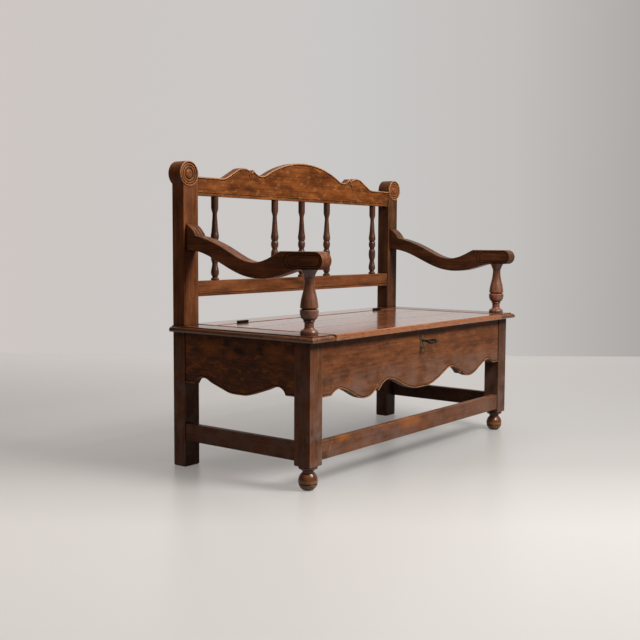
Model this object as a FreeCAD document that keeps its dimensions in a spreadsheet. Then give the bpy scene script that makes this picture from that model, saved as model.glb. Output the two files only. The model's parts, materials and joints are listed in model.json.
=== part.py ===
import FreeCAD, Part
import Sketcher
import os

from FreeCAD import Rotation, Vector

# Settle bench in millimetres. +X is the sitter's left hand seen from the front, to the right in a front view.
# +Y is the back, +Z is up, and the origin is the middle of the footprint, on the floor.

SIZES = {
    # Frame
    "width_over_legs": 1210.0,
    "depth_over_legs": 554.0,
    "post_wide": 63.0,
    "post_deep": 51.0,
    "leg_square": 58.0,
    "foot_tall": 71.0,
    "foot_radius": 28.6,
    "foot_dowel_radius": 11.0,
    "foot_dowel_long": 20.0,
    "roll_radius": 39.5,
    "roll_centre_up": 926.0,
    "joint_fit": 0.15,
    "tenon_thick": 10.0,
    "tenon_long": 25.0,
    "tenon_shoulder": 8.0,
    # Back
    "rail_thick": 27.0,
    "rail_recess": 3.0,
    "low_rail_bottom": 540.0,
    "low_rail_tall": 49.0,
    "crest_bottom": 860.0,
    "crest_end_tall": 59.5,
    "crest_lobe_tall": 99.5,
    "crest_notch_tall": 85.0,
    "crest_valley_tall": 78.5,
    "crest_centre_tall": 135.5,
    "outer_spindle_from_post": 92.0,
    "spindle_radius": 13.3,
    "spindle_pin_radius": 7.0,
    "spindle_pin_long": 14.0,
    # Seat
    "seat_up": 450.0,
    "seat_board": 19.0,
    "seat_side_overhang": 21.0,
    "seat_front_overhang": 26.0,
    "side_board_wide": 108.0,
    "rear_board_wide": 98.0,
    "lid_gap": 1.5,
    "moulding_inset": 12.0,
    "moulding_quirk": 3.8,
    "lid_round": 5.0,
    "cleat_thick": 16.0,
    "cleat_wide": 45.0,
    "cleat_from_end": 150.0,
    # Arms
    "arm_wide": 45.0,
    "arm_above_seat": 186.0,
    "hand_rest_tall": 52.0,
    "arm_front_overhang": 34.5,
    "arm_tenon_thick": 14.0,
    "arm_tenon_tall": 26.0,
    "arm_tenon_long": 20.0,
    "support_radius": 27.6,
    "support_pin_radius": 10.0,
    "support_top_pin": 20.0,
    "support_low_pin": 45.0,
    "arm_flat_behind_support": -1.1,
    # Chest
    "apron_thick": 22.0,
    "apron_recess": 3.0,
    "apron_end_tall": 164.0,
    "side_apron_end_tall": 160.0,
    "back_panel_tall": 151.0,
    "chest_deep": 119.0,
    "floor_thick": 10.0,
    "floor_gap": 1.0,
    "bearer_square": 14.0,
    # Stretchers
    "stretcher_up": 85.0,
    "stretcher_tall": 55.0,
    "stretcher_thick": 22.0,
    # Hinges
    "hinge_from_board_end": 128.0,
    "hinge_long": 50.0,
    "knuckle_radius": 4.0,
    "knuckle_gap": 0.3,
    "knuckle_lift": 0.2,
    "hinge_pin_radius": 1.75,
    "pin_fit": 0.05,
    "leaf_thick": 1.4,
    "leaf_tall": 15.0,
    "hinge_screw_radius": 1.6,
    "hinge_screw_head": 3.2,
    "hinge_screw_long": 14.0,
    # Lock
    "keyhole_below_seat": 60.0,
    "plate_thick": 1.6,
    "plate_half_wide": 15.0,
    "plate_above": 21.0,
    "plate_below": 39.0,
    "key_standout": 55.0,
    "key_shaft_radius": 3.0,
    "key_fit": 0.5,
    "key_bow_long": 37.0,
    "key_bow_half_wide": 14.0,
    "key_bow_wire": 2.2,
    "key_bit_reach": 11.0,
    "key_bit_long": 7.0,
    "key_bit_thick": 2.4,
    "key_rest_turn": 70.0,
    "lock_half_wide": 40.0,
    "lock_tall": 56.0,
    "lock_deep": 15.0,
    "lock_wall": 1.5,
    "lock_flange": 8.0,
    "lock_below_top": 2.5,
    "bolt_thick": 4.0,
    "bolt_tall": 7.0,
    "bolt_long": 33.0,
    "bolt_tail_long": 8.0,
    "bolt_below_top": 6.0,
    "bolt_throw": 10.0,
    "bolt_gap": 0.2,
    "staple_thick": 3.0,
    "staple_wide": 7.5,
    "staple_eye_play": 1.0,
    "staple_slot_play": 1.4,
    "staple_plate_half_wide": 28.0,
    "staple_plate_thick": 2.0,
    "screw_radius": 1.8,
    "screw_head": 3.6,
}

doc = FreeCAD.newDocument("settle_bench")
sheet = doc.addObject("Spreadsheet::Sheet", "Sizes")
for row, (alias, amount) in enumerate(SIZES.items(), start=1):
    sheet.set("A%d" % row, alias)
    sheet.set("B%d" % row, str(amount))
    sheet.setAlias("B%d" % row, alias)
doc.recompute()


class Size:
    """A length that remembers the sheet formula that it came from."""

    def __init__(self, amount, formula):
        self.amount = float(amount)
        self.formula = formula

    @staticmethod
    def of(other):
        if isinstance(other, Size):
            return other
        return Size(other, "(%r)" % float(other))

    def join(self, other, sign, amount):
        return Size(amount, "(%s %s %s)" % (self.formula, sign, other.formula))

    def __add__(self, other):
        other = Size.of(other)
        return self.join(other, "+", self.amount + other.amount)

    def __radd__(self, other):
        return Size.of(other) + self

    def __sub__(self, other):
        other = Size.of(other)
        return self.join(other, "-", self.amount - other.amount)

    def __rsub__(self, other):
        return Size.of(other) - self

    def __mul__(self, other):
        other = Size.of(other)
        return self.join(other, "*", self.amount * other.amount)

    def __rmul__(self, other):
        return Size.of(other) * self

    def __truediv__(self, other):
        other = Size.of(other)
        return self.join(other, "/", self.amount / other.amount)

    def __neg__(self):
        return self * -1

    def __float__(self):
        return self.amount


class Sheet:
    """Every cell of the sheet as a Size of the same name."""


for alias, amount in SIZES.items():
    setattr(Sheet, alias, Size(amount, "Sizes." + alias))
S = Sheet

LEFT = -1
RIGHT = 1
SIDES = {"left": LEFT, "right": RIGHT}


# Objects bound to the sheet


def bind(thing, path, size):
    thing.setExpression(path, Size.of(size).formula)


def place(thing, x=0, y=0, z=0, turn=None):
    if turn is not None:
        thing.Placement = FreeCAD.Placement(Vector(0, 0, 0), turn)
    for axis, size in zip("xyz", (x, y, z)):
        bind(thing, "Placement.Base." + axis, size)
    return thing


def named(thing, label):
    thing.Label = label
    return thing


def block(name, x, y, z):
    """A box from its two limits along each axis."""
    solid = doc.addObject("Part::Box", name)
    for path, limits in (("Length", x), ("Width", y), ("Height", z)):
        bind(solid, path, Size.of(limits[1]) - limits[0])
    return place(solid, x[0], y[0], z[0])


TURNS = {
    "x": Rotation(Vector(0, 1, 0), 90),
    "y": Rotation(Vector(1, 0, 0), -90),
    "z": Rotation(),
}


def rod(name, axis, radius, start, length):
    """A cylinder from its start point along +X, +Y or +Z."""
    solid = doc.addObject("Part::Cylinder", name)
    bind(solid, "Radius", radius)
    bind(solid, "Height", length)
    return place(solid, *start, turn=TURNS[axis])


def cone(name, axis, radius_near, radius_far, start, length):
    solid = doc.addObject("Part::Cone", name)
    bind(solid, "Radius1", radius_near)
    bind(solid, "Radius2", radius_far)
    bind(solid, "Height", length)
    return place(solid, *start, turn=TURNS[axis])


def fuse(name, parts):
    if len(parts) == 1:
        return parts[0]
    solid = doc.addObject("Part::MultiFuse", name)
    solid.Shapes = parts
    return solid


def cut(name, base, tools):
    solid = doc.addObject("Part::Cut", name)
    solid.Base = base
    solid.Tool = fuse(name + "_tools", tools)
    return solid


def common(name, first, second):
    solid = doc.addObject("Part::Common", name)
    solid.Base = first
    solid.Tool = second
    return solid


def group(name, solids):
    """Separate solids that share one node."""
    pack = doc.addObject("Part::Compound", name)
    pack.Links = solids
    return named(pack, name)


# Outlines


def line(start, end):
    return ("line", [start, end])


def arc(start, middle, end):
    return ("arc", [start, middle, end])


def curve(points, begin=None, finish=None):
    """A smooth curve through points, with the direction it sets out in and ends in, if given."""
    return ("curve", points, begin, finish)


def lines(points):
    return [line(a, b) for a, b in zip(points, points[1:])]


def mirrored(edges):
    """The same edges seen in a mirror at x = 0, in reverse order."""
    result = []
    for edge in reversed(edges):
        points = [(-1 * Size.of(x), y) for x, y in reversed(edge[1])]
        if edge[0] == "curve":
            begin = edge[3] and (edge[3][0], -edge[3][1])
            finish = edge[2] and (edge[2][0], -edge[2][1])
            result.append(("curve", points, begin, finish))
        else:
            result.append((edge[0], points))
    return result


def stretched(edges, reach):
    """Edges drawn from x = 0, made as much longer or shorter as brings their last point to a reach."""
    drawn_reach = Size.of(edges[-1][1][-1][0])
    result = []
    for edge in edges:
        points = [(reach * x / drawn_reach, y) for x, y in edge[1]]
        result.append((edge[0], points) + tuple(edge[2:]))
    return result


def flat(point):
    return Vector(float(point[0]), float(point[1]), 0)


def edge_geometry(edge):
    points = [flat(point) for point in edge[1]]
    if edge[0] == "line":
        return Part.LineSegment(*points)
    if edge[0] == "arc":
        return Part.Arc(*points)
    spline = Part.BSplineCurve()
    tangents = {}
    if edge[2] and edge[3]:
        tangents = {"InitialTangent": Vector(*edge[2], 0), "FinalTangent": Vector(*edge[3], 0)}
    spline.interpolate(Points=points, **tangents)
    return spline


PLANES = {
    "front": Rotation(Vector(1, 0, 0), 90),
    "side": Rotation(Vector(1, 1, 1), 120),
    "floor": Rotation(),
}


def outline(name, plane, edges, x=0, y=0, z=0):
    """A closed sketch whose corners are bound to the sheet."""
    sketch = doc.addObject("Sketcher::SketchObject", name)
    starts = []
    ends = []
    for edge in edges:
        index = sketch.addGeometry(edge_geometry(edge), False)
        first = (sketch.getPoint(index, 1) - flat(edge[1][0])).Length
        second = (sketch.getPoint(index, 2) - flat(edge[1][0])).Length
        start = 1 if first <= second else 2
        starts.append((index, start))
        ends.append((index, 3 - start))
    for number, edge in enumerate(edges):
        following = starts[(number + 1) % len(edges)]
        sketch.addConstraint(Sketcher.Constraint("Coincident", *ends[number], *following))
        for kind, size in (("DistanceX", edge[1][0][0]), ("DistanceY", edge[1][0][1])):
            rule = Sketcher.Constraint(kind, -1, 1, *starts[number], float(size))
            index = sketch.addConstraint(rule)
            bind(sketch, "Constraints[%d]" % index, size)
    return place(sketch, x, y, z, turn=PLANES[plane])


def extrude(name, sketch, direction, length):
    solid = doc.addObject("Part::Extrusion", name)
    solid.Base = sketch
    solid.DirMode = "Custom"
    solid.Dir = Vector(*direction)
    solid.Solid = True
    bind(solid, "LengthFwd", length)
    return solid


def front_board(name, edges, y, thick):
    """A board whose outline is seen from the front."""
    return extrude(name, outline(name + "_outline", "front", edges, y=y), (0, 1, 0), thick)


def side_board(name, edges, x, thick):
    """A board whose outline is seen from the side."""
    return extrude(name, outline(name + "_outline", "side", edges, x=x), (1, 0, 0), thick)


def turned(name, edges, x, y, z):
    """A piece turned about an upright axis: edges run from the axis at the bottom to the axis at the top."""
    first = edges[0][1][0]
    last = edges[-1][1][-1]
    sketch = outline(name + "_profile", "front", edges + [line(last, first)])
    solid = doc.addObject("Part::Revolution", name)
    solid.Source = sketch
    solid.Axis = Vector(0, 0, 1)
    solid.Base = Vector(0, 0, 0)
    solid.Angle = 360
    solid.Solid = True
    return place(solid, x, y, z)


# Places that several pieces share

back_plane = (S.depth_over_legs - S.apron_recess + S.plate_thick + S.key_standout) / 2
leg_front = back_plane - S.depth_over_legs
leg_back = leg_front + S.leg_square
post_front = back_plane - S.post_deep
half_width = S.width_over_legs / 2
post_inner = half_width - S.post_wide
leg_inner = half_width - S.leg_square
seat_under = S.seat_up - S.seat_board
arm_under_up = S.seat_up + S.arm_above_seat
apron_end_up = seat_under - S.apron_end_tall
side_apron_end_up = seat_under - S.side_apron_end_tall
back_panel_up = seat_under - S.back_panel_tall
floor_up = seat_under - S.chest_deep
keyhole_up = S.seat_up - S.keyhole_below_seat
seat_front = leg_front - S.seat_front_overhang
side_board_inner = half_width + S.seat_side_overhang - S.side_board_wide
rear_board_back = back_plane - S.apron_recess
rear_board_front = rear_board_back - S.rear_board_wide
rail_front = post_front + S.rail_recess
apron_front = leg_front + S.apron_recess
apron_inner = apron_front + S.apron_thick
side_apron_outer = half_width - S.apron_recess
side_apron_inner = side_apron_outer - S.apron_thick
back_panel_back = back_plane - S.apron_recess
back_panel_front = back_panel_back - S.apron_thick
arm_middle = half_width - S.post_wide / 2
support_middle = leg_front + S.leg_square / 2
low_rail_top = S.low_rail_bottom + S.low_rail_tall
rail_middle = rail_front + S.rail_thick / 2


def span(side, near, far):
    """Limits along X of what lies from near to far out from the middle, on one side."""
    if side == RIGHT:
        return (near, far)
    return (-1 * Size.of(far), -1 * Size.of(near))


def grown(limits, by):
    return (Size.of(limits[0]) - by, Size.of(limits[1]) + by)


# Tenons and mortises

# A tenon is kept as its three limits, so that the rail is given it and the leg is cut for it.
# The mortise is larger than the tenon by joint_fit all round, apart from its open side.


def tenon(name, x, y, z):
    return block(name, x, y, z)


def mortise(name, x, y, z):
    fit = S.joint_fit
    return block(name, grown(x, fit), grown(y, fit), grown(z, fit))


def centred(middle, thick):
    return (middle - thick / 2, middle + thick / 2)


def inside(limits, margin):
    return (Size.of(limits[0]) + margin, Size.of(limits[1]) - margin)


def cross_joint(side, inner_face, middle, heights):
    """Tenon limits at the end of a rail that runs along X into a leg or post."""
    x = span(side, inner_face, inner_face + S.tenon_long)
    return (x, centred(middle, S.tenon_thick), inside(heights, S.tenon_shoulder))


def depth_joint(side, face, reach, outer, thick, heights):
    """Tenon limits at the end of a rail that runs along Y."""
    middle = outer - thick / 2
    x = span(side, middle - S.tenon_thick / 2, middle + S.tenon_thick / 2)
    y = (face, face + reach) if float(reach) > 0 else (face + reach, face)
    return (x, y, inside(heights, S.tenon_shoulder))


crest_heights = (S.crest_bottom, S.crest_bottom + S.crest_end_tall)
low_rail_heights = (S.low_rail_bottom, low_rail_top)
stretcher_heights = (S.stretcher_up, S.stretcher_up + S.stretcher_tall)
front_apron_heights = (apron_end_up, seat_under)
side_apron_heights = (side_apron_end_up, seat_under)
back_panel_heights = (back_panel_up, seat_under)
apron_middle = apron_front + S.apron_thick / 2
stretcher_middle = apron_front + S.stretcher_thick / 2
stretcher_outer = side_apron_outer
back_panel_middle = back_panel_back - S.apron_thick / 2


def post_joints(side):
    """Tenons that enter a rear post."""
    arm_heights = (arm_under_up + S.hand_rest_tall, arm_under_up + S.hand_rest_tall + S.arm_tenon_tall)
    arm_x = span(side, arm_middle - S.arm_tenon_thick / 2, arm_middle + S.arm_tenon_thick / 2)
    thick = S.apron_thick
    return {
        "crest": cross_joint(side, post_inner, rail_middle, crest_heights),
        "low_rail": cross_joint(side, post_inner, rail_middle, low_rail_heights),
        "back_panel": cross_joint(side, post_inner, back_panel_middle, back_panel_heights),
        "side_apron": depth_joint(side, post_front, S.tenon_long, side_apron_outer, thick, side_apron_heights),
        "side_stretcher": depth_joint(
            side, post_front, S.tenon_long, stretcher_outer, S.stretcher_thick, stretcher_heights),
        "arm": (arm_x, (post_front, post_front + S.arm_tenon_long), arm_heights),
    }


def leg_joints(side):
    """Tenons that enter a front leg."""
    back = -1 * S.tenon_long
    thick = S.apron_thick
    return {
        "front_apron": cross_joint(side, leg_inner, apron_middle, front_apron_heights),
        "front_stretcher": cross_joint(side, leg_inner, stretcher_middle, stretcher_heights),
        "side_apron": depth_joint(side, leg_back, back, side_apron_outer, thick, side_apron_heights),
        "side_stretcher": depth_joint(
            side, leg_back, back, stretcher_outer, S.stretcher_thick, stretcher_heights),
    }


# Rear posts

ROLL_RINGS = (0.84, 0.60, 0.36)
RING_GROOVE = 1.9


def rear_post(hand):
    side = SIDES[hand]
    name = "rear_post_" + hand
    top = S.roll_centre_up
    inner = side * post_inner
    outer = side * half_width
    corners = [(inner, 0), (outer, 0), (outer, top), (inner, top), (inner, 0)]
    shaft = front_board(name + "_shaft", lines(corners), post_front, S.post_deep)
    roll_x = side * (post_inner + S.roll_radius)
    roll = rod(name + "_roll", "y", S.roll_radius, (roll_x, post_front, top), S.post_deep)
    cutters = [mortise(name + "_for_" + what, *limits) for what, limits in post_joints(side).items()]
    for number, share in enumerate(ROLL_RINGS, start=1):
        ring = doc.addObject("Part::Torus", "%s_ring_%d" % (name, number))
        bind(ring, "Radius1", S.roll_radius * share)
        bind(ring, "Radius2", RING_GROOVE)
        place(ring, roll_x, post_front, top, turn=TURNS["y"])
        cutters.append(ring)
    return named(cut(name, fuse(name + "_body", [shaft, roll]), cutters), name)


# Front legs and their feet

def front_leg(hand):
    side = SIDES[hand]
    name = "front_leg_" + hand
    body = block(name + "_body", span(side, leg_inner, half_width), (leg_front, leg_back),
                 (S.foot_tall, seat_under))
    cutters = [mortise(name + "_for_" + what, *limits) for what, limits in leg_joints(side).items()]
    middle = side * (half_width - S.leg_square / 2)
    fit = S.joint_fit
    cutters.append(rod(name + "_for_foot", "z", S.foot_dowel_radius + fit,
                       (middle, support_middle, S.foot_tall), S.foot_dowel_long + fit))
    reach = S.support_low_pin - S.seat_board + fit
    cutters.append(rod(name + "_for_support", "z", S.support_pin_radius + fit,
                       (side * arm_middle, support_middle, seat_under - reach), reach))
    return named(cut(name, body, cutters), name)


def ball_foot(hand):
    side = SIDES[hand]
    name = "ball_foot_" + hand
    r = S.foot_radius
    top = S.foot_tall
    toe = r - 14.0
    groove_up = 18.5
    neck = r - 11.6
    edges = [
        line((0, 0), (toe, 0)),
        arc((toe, 0), (r - 5.0, 8.5), (r - 0.9, groove_up - 1.6)),
        line((r - 0.9, groove_up - 1.6), (r - 2.6, groove_up)),
        line((r - 2.6, groove_up), (r - 0.6, groove_up + 1.6)),
        arc((r - 0.6, groove_up + 1.6), (r - 0.9, 35.0), (neck, 52.0)),
        arc((neck, 52.0), (neck + 1.5, top - 13.0), (r - 2.0, top - 8.5)),
        arc((r - 2.0, top - 8.5), (r, top - 4.5), (r - 1.5, top)),
        line((r - 1.5, top), (S.foot_dowel_radius, top)),
        line((S.foot_dowel_radius, top), (S.foot_dowel_radius, top + S.foot_dowel_long)),
        line((S.foot_dowel_radius, top + S.foot_dowel_long), (0, top + S.foot_dowel_long)),
    ]
    middle = side * (half_width - S.leg_square / 2)
    return named(turned(name, edges, middle, support_middle, 0), name)


# Back: crest rail, lower rail and spindles

SPINDLE_PLACES = (-3, -1, 0, 1, 3)
spindle_pitch = (post_inner - S.outer_spindle_from_post) / max(SPINDLE_PLACES)


def spindle_x(step):
    return spindle_pitch * step


def spindle_pin_holes(name, up, down):
    """Bores for the spindle pins, from up to down along Z."""
    radius = S.spindle_pin_radius + S.joint_fit
    return [
        rod("%s_for_spindle_%d" % (name, number), "z", radius, (spindle_x(step), rail_middle, down), up - down)
        for number, step in enumerate(SPINDLE_PLACES, start=1)
    ]


def crest_half():
    """Top edge of the crest rail from its middle to its end, without the tenon."""
    base = S.crest_bottom
    centre = base + S.crest_centre_tall
    valley = base + S.crest_valley_tall
    notch = base + S.crest_notch_tall
    lobe = base + S.crest_lobe_tall
    end = base + S.crest_end_tall
    drawn = [
        arc((0, centre), (105, centre - 12.3), (205, centre - 48.9)),
        arc((205, centre - 48.9), (237, valley), (275, lobe - 3.5)),
        line((275, lobe - 3.5), (287, notch)),
        line((287, notch), (299, lobe - 4.0)),
        arc((299, lobe - 4.0), (325, lobe), (352, lobe - 6.0)),
        line((352, lobe - 6.0), (398, end + 9.5)),
        arc((398, end + 9.5), (413, end + 2.7), (432, end)),
        line((432, end), (542, end)),
    ]
    return stretched(drawn, post_inner)


def with_tenons(name, body, joints):
    """A rail joined with its own tenons."""
    tenons = [tenon("%s_tenon_%d" % (name, number), *limits) for number, limits in enumerate(joints, start=1)]
    return fuse(name + "_with_tenons", [body] + tenons)


def crest_rail():
    name = "crest_rail"
    half = crest_half()
    top = mirrored(half) + half
    low_left = (-1 * post_inner, S.crest_bottom)
    low_right = (post_inner, S.crest_bottom)
    ends = [line(half[-1][1][-1], low_right), line(low_right, low_left), line(low_left, top[0][1][0])]
    board = front_board(name + "_board", top + ends, rail_front, S.rail_thick)
    rail = with_tenons(name, board, [post_joints(side)["crest"] for side in SIDES.values()])
    deep = S.spindle_pin_long + S.joint_fit
    holes = spindle_pin_holes(name, S.crest_bottom + deep, S.crest_bottom)
    return named(cut(name, rail, holes), name)


def lower_back_rail():
    name = "lower_back_rail"
    board = block(name + "_board", (-1 * post_inner, post_inner), (rail_front, rail_front + S.rail_thick),
                  low_rail_heights)
    rail = with_tenons(name, board, [post_joints(side)["low_rail"] for side in SIDES.values()])
    deep = S.spindle_pin_long + S.joint_fit
    holes = spindle_pin_holes(name, low_rail_top, low_rail_top - deep)
    return named(cut(name, rail, holes), name)


SPINDLE_DRAWN_LONG = 271.0
SPINDLE_DRAWN_RADIUS = 13.3


def spindle(number, step):
    """A turned spindle between the two rails, with a pin at each end."""
    name = "spindle_%d" % number
    long = S.crest_bottom - low_rail_top
    pin = S.spindle_pin_radius
    reach = S.spindle_pin_long
    tall = long / SPINDLE_DRAWN_LONG
    wide = S.spindle_radius / SPINDLE_DRAWN_RADIUS

    def at(radius, up):
        return (wide * radius, tall * up)

    edges = [
        line((0, -1 * reach), (pin, -1 * reach)),
        line((pin, -1 * reach), (pin, 0)),
        line((pin, 0), at(13.3, 0)),
        line(at(13.3, 0), at(13.3, 6)),
        line(at(13.3, 6), at(9.5, 9)),
        line(at(9.5, 9), at(9.5, 13)),
        curve([at(9.5, 13), at(13.3, 24), at(11.6, 38), at(9.1, 54)]),
        line(at(9.1, 54), at(11.7, 63)),
        arc(at(11.7, 63), at(13.3, 79), at(11.7, 95)),
        line(at(11.7, 95), at(9.9, 98)),
        line(at(9.9, 98), at(9.9, 104)),
        arc(at(9.9, 104), at(13.1, 116), at(11.3, 128)),
        line(at(11.3, 128), at(11.3, 132)),
        curve([at(11.3, 132), at(12.8, 136), at(11.9, 155), at(8.9, 190), at(7.6, 208)]),
        line(at(7.6, 208), at(7.6, 217)),
        curve([at(7.6, 217), at(9.7, 224), at(12.0, 233)]),
        line(at(12.0, 233), (wide * 12.0, long)),
        line((wide * 12.0, long), (pin, long)),
        line((pin, long), (pin, long + reach)),
        line((pin, long + reach), (0, long + reach)),
    ]
    return named(turned(name, edges, spindle_x(step), rail_middle, low_rail_top), name)


# Arms

ARM_DRAWN_LONG = 537.5
HAND_REST_DRAWN_TALL = 52.0


def arm_profile():
    """Outline of an arm seen from the side, from the post forward and back along its underside."""
    under = arm_under_up
    top = under + S.hand_rest_tall
    nose = S.hand_rest_tall / 2
    front = leg_front - S.arm_front_overhang
    long = (post_front - front) / ARM_DRAWN_LONG
    tall = S.hand_rest_tall / HAND_REST_DRAWN_TALL

    def above(back, up):
        """A point a distance in front of the post, above the top of the hand rest."""
        return (post_front - long * back, top + tall * up)

    def below(share, up):
        """A point at a share of the way from the post to the flat under the hand rest."""
        return (post_front - (post_front - rest_under[0]) * share, under + tall * up)

    scroll_top = above(0, 83)
    scroll_foot = above(42.5, 44)
    rest_back = above(381, 0)
    rest_under = (support_middle + S.support_radius + S.arm_flat_behind_support, under)
    heel = below(0, 51)
    return [
        arc(scroll_top, above(24, 68), scroll_foot),
        curve([scroll_foot, above(101, 30), above(171, 2), above(241, -28), above(274, -33.5),
               above(326, -25), above(356, -12), rest_back]),
        line(rest_back, (front + nose, top)),
        arc((front + nose, top), (front, under + nose), (front + nose, under)),
        line((front + nose, under), rest_under),
        curve([rest_under, below(0.923, -8.5), below(0.8, -24), below(0.677, -30), below(0.525, -21.5),
               below(0.326, 13), below(0.17, 41), heel]),
        line(heel, scroll_top),
    ]


def arm(hand):
    side = SIDES[hand]
    name = "arm_" + hand
    x = span(side, arm_middle - S.arm_wide / 2, arm_middle + S.arm_wide / 2)
    body = side_board(name + "_body", arm_profile(), x[0], S.arm_wide)
    limits = post_joints(side)["arm"]
    whole = fuse(name + "_with_tenon", [body, tenon(name + "_tenon", *limits)])
    fit = S.joint_fit
    hole = rod(name + "_for_support", "z", S.support_pin_radius + fit,
               (side * arm_middle, support_middle, arm_under_up), S.support_top_pin + fit)
    return named(cut(name, whole, [hole]), name)


SUPPORT_DRAWN_LONG = 186.0
SUPPORT_DRAWN_RADIUS = 27.6


def arm_support(hand):
    """A turned baluster, pinned into the arm above and through the seat board into the leg below."""
    side = SIDES[hand]
    name = "arm_support_" + hand
    long = S.arm_above_seat
    pin = S.support_pin_radius
    low = S.support_low_pin
    high = S.support_top_pin
    tall = long / SUPPORT_DRAWN_LONG
    wide = S.support_radius / SUPPORT_DRAWN_RADIUS

    def at(radius, up):
        return (wide * radius, tall * up)

    edges = [
        line((0, -1 * low), (pin, -1 * low)),
        line((pin, -1 * low), (pin, 0)),
        line((pin, 0), at(26.1, 0)),
        line(at(26.1, 0), at(26.1, 5)),
        arc(at(26.1, 5), at(24.6, 11), at(19.6, 15)),
        arc(at(19.6, 15), at(15.4, 18), at(13.9, 24)),
        line(at(13.9, 24), at(13.9, 36)),
        arc(at(13.9, 36), at(17.1, 39), at(15.1, 42)),
        curve([at(15.1, 42), at(22.8, 48), at(26.8, 60), at(27.6, 70)]),
        line(at(27.6, 70), at(23.1, 74.5)),
        line(at(23.1, 74.5), at(26.6, 78.5)),
        curve([at(26.6, 78.5), at(25.8, 87), at(23.3, 103), at(17.8, 126), at(14.5, 148), at(13.9, 158)]),
        curve([at(13.9, 158), at(16.9, 170), (wide * 25.1, long)]),
        line((wide * 25.1, long), (pin, long)),
        line((pin, long), (pin, long + high)),
        line((pin, long + high), (0, long + high)),
    ]
    return named(turned(name, edges, side * arm_middle, support_middle, S.seat_up), name)


# Seat boards

def moulding(nose, inward, top, thick):
    """Moulded edge from the top face down and round to the underside, at a nose that points outward."""
    inset = S.moulding_inset
    quirk = top - S.moulding_quirk
    middle = top - thick / 2 - 2.0
    under = top - thick
    return [
        line((nose + inward * inset, top), (nose + inward * inset, quirk)),
        arc((nose + inward * inset, quirk), (nose + inward * 3.2, top - thick * 0.32), (nose, middle)),
        arc((nose, middle), (nose + inward * 0.8, under + 2.6), (nose + inward * 3.5, under)),
    ]


def rounded(nose, inward, top, thick):
    """Plain rounded edge, softer above than below."""
    soft = S.lid_round
    small = S.lid_round * 0.6
    under = top - thick
    bend = 1 - 0.5 ** 0.5
    return [
        arc((nose + inward * soft, top), (nose + inward * soft * bend, top - soft * bend), (nose, top - soft)),
        line((nose, top - soft), (nose, under + small)),
        arc((nose, under + small), (nose + inward * small * bend, under + small * bend),
            (nose + inward * small, under)),
    ]


def board_section(edge, far):
    """Section of a seat board with the given front edge, square at its far end."""
    first = edge[0][1][0]
    last = edge[-1][1][-1]
    corners = [last, (far, seat_under), (far, S.seat_up), first]
    return edge + lines(corners)


def seat_side_board(hand):
    """Fixed end of the seat: moulded along its outer and front edges, notched round the post."""
    side = SIDES[hand]
    name = "seat_side_board_" + hand
    outer = side * (half_width + S.seat_side_overhang)
    long = rear_board_back - seat_front
    across = board_section(moulding(outer, -side, S.seat_up, S.seat_board), side * side_board_inner)
    first = extrude(name + "_across", outline(name + "_across_outline", "front", across, y=seat_front),
                    (0, 1, 0), long)
    along = board_section(moulding(seat_front, 1, S.seat_up, S.seat_board), rear_board_back)
    x = span(side, side_board_inner, half_width + S.seat_side_overhang)
    second = extrude(name + "_along", outline(name + "_along_outline", "side", along, x=x[0]),
                     (1, 0, 0), S.side_board_wide)
    fit = S.joint_fit
    heights = grown((seat_under, S.seat_up), 1)
    notch = block(name + "_for_post", span(side, post_inner - fit, half_width + fit),
                  (post_front - fit, rear_board_back + 1), heights)
    hole = rod(name + "_for_support", "z", S.support_pin_radius + fit,
               (side * arm_middle, support_middle, seat_under), S.seat_board)
    return named(cut(name, common(name + "_moulded", first, second), [notch, hole]), name)


hinge_line = rear_board_front - S.lid_gap / 2
hinge_up = S.seat_up + S.knuckle_radius + S.knuckle_lift


def leaf_recess(name, inward, x):
    """Shallow housing for a hinge leaf in the edge of a board: inward is -1 in the lid, 1 behind it."""
    face = hinge_line + inward * S.lid_gap / 2
    bottom = hinge_line + inward * (0.2 + S.leaf_thick)
    y = (bottom, face + 1) if inward < 0 else (face - 1, bottom)
    return block(name, x, y, (S.seat_up - S.leaf_tall, S.seat_up + 1))


def hinge_span(hand):
    side = SIDES[hand]
    near = side_board_inner - S.hinge_from_board_end - S.hinge_long / 2
    return span(side, near, near + S.hinge_long)


SCREW_SHARES = (0.2, 0.5, 0.8)


def leaf_screws(name, hand, inward, play=0.0):
    """Screws through one hinge leaf, as tools when play is above 0."""
    low, high = hinge_span(hand)
    up = S.seat_up - S.leaf_tall / 2
    screws = []
    for number, share in enumerate(SCREW_SHARES, start=1):
        x = low + (high - low) * share
        tip = hinge_line + inward * (0.2 + S.hinge_screw_long)
        face = hinge_line + inward * 0.2
        start = min(tip, face, key=float)
        shank = rod("%s_shank_%d" % (name, number), "y", S.hinge_screw_radius + play,
                    (x, start, up), S.hinge_screw_long)
        near = S.hinge_screw_head + play
        far = S.hinge_screw_radius + play
        if inward > 0:
            head = cone("%s_head_%d" % (name, number), "y", near, far, (x, face, up), S.leaf_thick)
        else:
            head = cone("%s_head_%d" % (name, number), "y", far, near, (x, face - S.leaf_thick, up),
                        S.leaf_thick)
        screws.append(fuse("%s_%d" % (name, number), [shank, head]))
    return screws


SCREW_PLAY = 0.05


def seat_rear_board():
    """Fixed strip behind the lid, between the posts, with the hinge leaves let into its front edge."""
    name = "seat_rear_board"
    fit = S.joint_fit
    board = block(name + "_board", (fit - side_board_inner, side_board_inner - fit),
                  (rear_board_front, rear_board_back), (seat_under, S.seat_up))
    cutters = []
    for hand in SIDES:
        cutters.append(leaf_recess(name + "_for_leaf_" + hand, 1, hinge_span(hand)))
        cutters += leaf_screws(name + "_for_screws_" + hand, hand, 1, SCREW_PLAY)
    return named(cut(name, board, cutters), name)


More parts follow.
